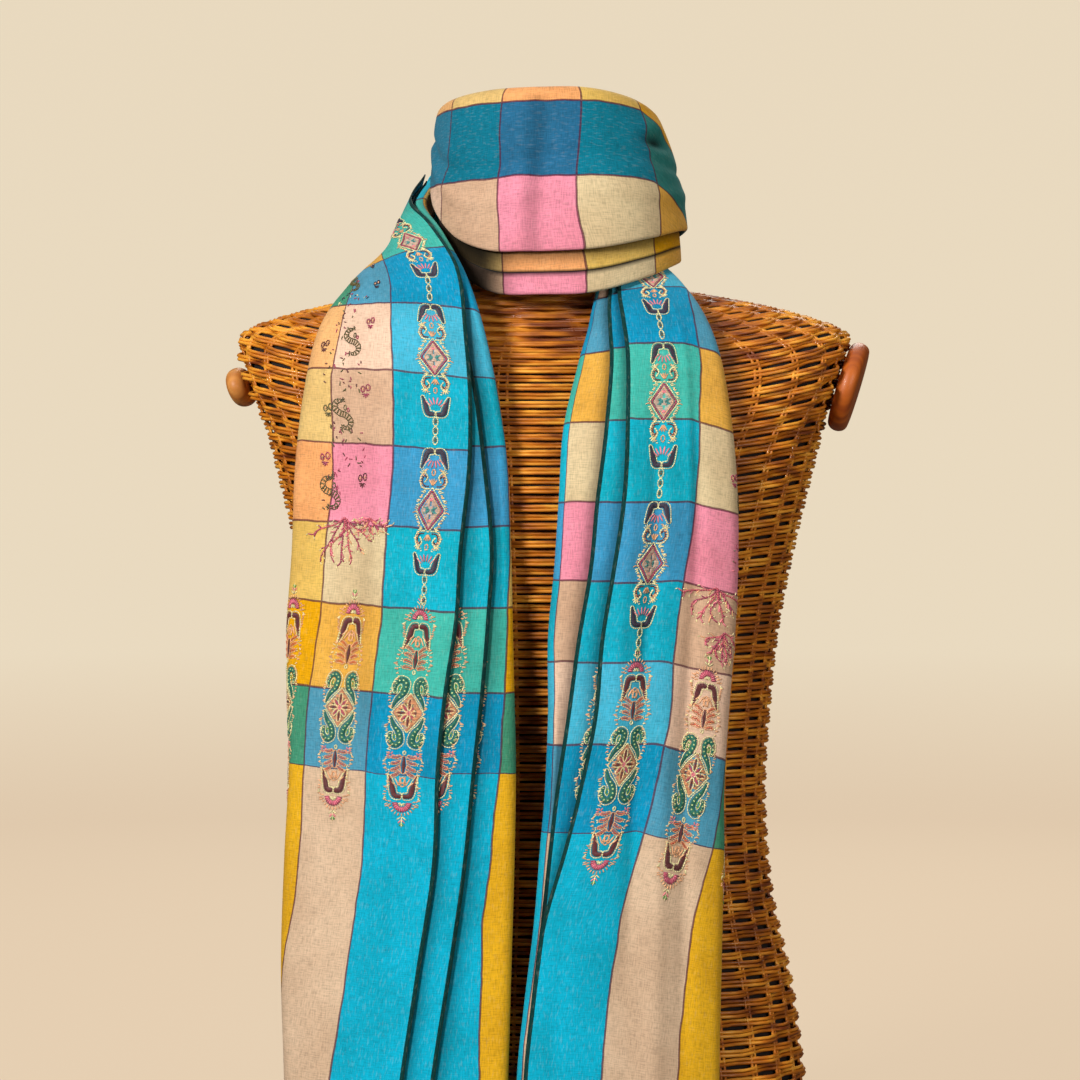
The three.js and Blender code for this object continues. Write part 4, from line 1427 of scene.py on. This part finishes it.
def arm_cap(name, side, height, depth, thickness, material):
    """A turned wooden cap with a round edge, flat against the arm end."""
    angle = np.linspace(0, 2 * math.pi, 72, endpoint=False)
    rings = []
    for turn in np.linspace(0, math.pi, 15):
        reach = 1 - ROUND_EDGE * (1 - math.sin(turn)) * 2 / height
        out = ARM_GAP + thickness * (0.5 - 0.5 * math.cos(turn))
        across = reach * depth / 2 * np.sin(angle)
        up = reach * height / 2 * np.cos(angle)
        x = out * math.cos(ARM_TILT) + up * math.sin(ARM_TILT)
        z = up * math.cos(ARM_TILT) - out * math.sin(ARM_TILT)
        y = across * math.cos(ARM_TURN) - x * math.sin(ARM_TURN)
        x = x * math.cos(ARM_TURN) + across * math.sin(ARM_TURN)
        rings.append(np.stack([side * (x + ARM_CENTRE[0]), side * y, z + ARM_CENTRE[2]], -1))
    return lofted(name, rings, material)


def form_core(material):
    """The smooth, dark body that closes the form behind its reeds and stakes, painted shade for the
    shadowed hollow inside.
    """
    angle = np.linspace(0, 2 * math.pi, 96, endpoint=False)
    rows = np.linspace(0, len(FORM_RINGS) - 1, 67)
    inset = 2 * (REED + SWING) - 0.6
    rings = [form_surface(np.full(len(angle), row), angle, inset) for row in rows]
    return lofted("form_core", rings, material)


# ---- stage, light and camera -------------------------------------------------------------

FLOOR_COLOUR = (104, 98, 86)
BACKDROP_LOW = (231, 207, 178)
BACKDROP_HIGH = (243, 227, 200)
BACKDROP_STRENGTH = 0.84
ROOM_LIGHT = 0.62
# Each light: name, place and target in metres, size, power and colour.
LIGHTS = [
    ("key", (-1.6, -2.6, 1.5), (0, 0, 0.42), 0.8, 106, (255, 253, 250)),
    ("fill", (1.7, -2.4, 0.9), (0, 0, 0.36), 1.6, 30, (255, 252, 246)),
    ("rim", (0.4, 2.3, 2.2), (0, 0, 0.5), 1.6, 30, (255, 250, 240)),
]
CAMERA_PLACE = (-0.0034, -2.0, 0.47)
LENS = 98.0


def bowl(material):
    """A pale floor that curves up into a round wall, open at the top."""
    flat, bend, top = 3.0, 1.5, 5.0
    profile = [(0.001, 0), (flat, 0)]
    for a in np.linspace(0.15, math.pi / 2, 10):
        profile.append((flat + bend * math.sin(a), bend - bend * math.cos(a)))
    profile.append((flat + bend, top))
    count = 96
    vertices, faces = [], []
    for radius, z in profile:
        for k in range(count):
            a = 2 * math.pi * k / count
            vertices.append((radius * math.cos(a), radius * math.sin(a), z - 0.0005))
    for i in range(len(profile) - 1):
        for k in range(count):
            a, b = i * count + k, i * count + (k + 1) % count
            faces.append((a, b, b + count, a + count))
    obj = new_object("floor", vertices, faces)
    obj.data.polygons.foreach_set("use_smooth", [True] * len(faces))
    obj.data.materials.append(material)
    return obj


def area_light(name, place, target, size, power, colour):
    data = bpy.data.lights.new(name, "AREA")
    data.shape = "DISK"
    data.size = size
    data.energy = power
    data.color = linear(*colour)[:3]
    obj = bpy.data.objects.new(name, data)
    obj.location = place
    obj.rotation_euler = (Vector(target) - Vector(place)).to_track_quat("-Z", "Y").to_euler()
    bpy.context.scene.collection.objects.link(obj)


def floor_material():
    """Pale and even to the camera, and less bright as a reflector."""
    material, t, shader = new_material("pale_floor")
    shader.inputs["Base Color"].default_value = linear(*FLOOR_COLOUR)
    shader.inputs["Roughness"].default_value = 0.9
    shader.inputs["Specular IOR Level"].default_value = 0.0
    place = t.node("ShaderNodeSeparateXYZ")
    t.link(t.node("ShaderNodeTexCoord").outputs["Object"], place.inputs[0])
    high = t.math("MULTIPLY", place.outputs[2], 4.0)
    tones = [(0.0, linear(*BACKDROP_LOW)), (1.0, linear(*BACKDROP_HIGH))]
    t.link(t.ramp(high, tones, "LINEAR"), shader.inputs["Emission Color"])
    seen = t.node("ShaderNodeLightPath").outputs["Is Camera Ray"]
    t.link(t.math("MULTIPLY", seen, BACKDROP_STRENGTH), shader.inputs["Emission Strength"])
    return material


def studio():
    """A soft, bright room: even light all round, a key from the left, a fill and a rim light."""
    bowl(floor_material())
    world = bpy.data.worlds.new("studio")
    bpy.context.scene.world = world
    world.use_nodes = True
    background = world.node_tree.nodes["Background"]
    background.inputs["Color"].default_value = linear(255, 253, 250)
    background.inputs["Strength"].default_value = ROOM_LIGHT
    for name, place, target, size, power, colour in LIGHTS:
        area_light(name, place, target, size, power, colour)


def plain_colours():
    """Shows colours as they are, without a film look."""
    bpy.context.scene.view_settings.view_transform = "Standard"


def camera():
    """Level, from the front, at the height of the chest."""
    data = bpy.data.cameras.new("camera")
    data.lens = LENS
    data.sensor_width = 36.0
    obj = bpy.data.objects.new("camera", data)
    obj.location = CAMERA_PLACE
    obj.rotation_euler = (math.pi / 2, 0, 0)
    bpy.context.scene.collection.objects.link(obj)
    bpy.context.scene.camera = obj


# ---- the object --------------------------------------------------------------------------


def finish_piece(obj, node):
    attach(obj, "root")
    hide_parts(node)
    return obj


def left_tail():
    section, run = tail_section(LEFT_TAIL, LEFT_SLACK, LEFT_SHIFT)
    across = tail_across(LEFT_INNER, LEFT_GATHER)
    relief = tail_relief(LEFT_FOLDS, 0.4)
    cloth = Cloth("shawl_left", TAIL_LEGS, section, -1, run, across, relief, tail_painted_shade)
    return slanted(cloth, LEFT_SLANT)


def right_tail():
    section, run = tail_section(RIGHT_TAIL, RIGHT_SLACK, RIGHT_SHIFT)
    across = tail_across(RIGHT_INNER, NO_GATHER)
    relief = tail_relief(RIGHT_FOLDS, 2.1)
    along = CLOTH_LENGTH - run
    cloth = Cloth("shawl_right", TAIL_LEGS, section, 1, along, across, relief, tail_painted_shade)
    return slanted(cloth, RIGHT_SLANT)


def wrap(name, first, last):
    section, along = spiral_section(first, last)
    return Cloth(name, BAND_LEGS, section, -1, along, band_across, band_relief, band_painted_shade)


def build_cloth():
    """The five stretches of the shawl, and the embroidery on both tails."""
    pashmina = pashmina_material(check_group(), weave_group())
    thread = thread_material()
    grain = stitch_grain()
    tails = (
        (left_tail(), "shawl_tail_left", (0.65, 0.68), left_sewing()),
        (right_tail(), "shawl_tail_right", (0.65, 0.679), right_sewing()),
    )
    for cloth, node, flat, work in tails:
        sewn = finish_piece(embroider(cloth, work, grain, thread), node)
        obj = finish_piece(cloth.build(pashmina), node)
    bpy.data.objects.remove(grain)
    wraps = (
        (wrap("shawl_outer_loop", *SEAM_TURNS[0:2]), "shawl_loop_outer", (0.5, 0.2375)),
        (wrap("shawl_front_band", *SEAM_TURNS[2:4]), "shawl_band_front", (0.6, 0.275)),
        (wrap("shawl_inner_loop", *SEAM_TURNS[4:6]), "shawl_loop_inner", (0.36, 0.172)),
    )
    for cloth, node, flat in wraps:
        obj = finish_piece(cloth.build(pashmina), node)


def build_form():
    """The wicker torso and its wooden caps."""
    reed = reed_material()
    finish_piece(form_core(painted_shade_hollow_material()), "form_torso")
    for name, low, high in (("form_weave_lower", 0, 0.47), ("form_weave_upper", 0.47, 1)):
        obj = rods(name, reed_paths(low, high), True, REED, 5, reed)
        finish_piece(obj, "form_torso")
    stakes = rods("form_stakes", stake_paths(), False, STAKE, 4, reed)
    finish_piece(stakes, "form_torso")
    red_wood = wood_material("red_wood", (142, 58, 8), (196, 100, 20))
    tan_wood = wood_material("tan_wood", (186, 112, 44), (226, 158, 82))
    left_cap = arm_cap("arm_cap_left", -1, 27, 46, 13, tan_wood)
    finish_piece(left_cap, "form_arm_cap_left")
    right_cap = arm_cap("arm_cap_right", 1, 62, 73, 13, red_wood)
    finish_piece(right_cap, "form_arm_cap_right")
    neck_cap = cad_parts["form_neck_cap"]
    neck_cap.data.materials.clear()
    neck_cap.data.materials.append(red_wood)


build_cloth()
build_form()
studio()
plain_colours()
camera()
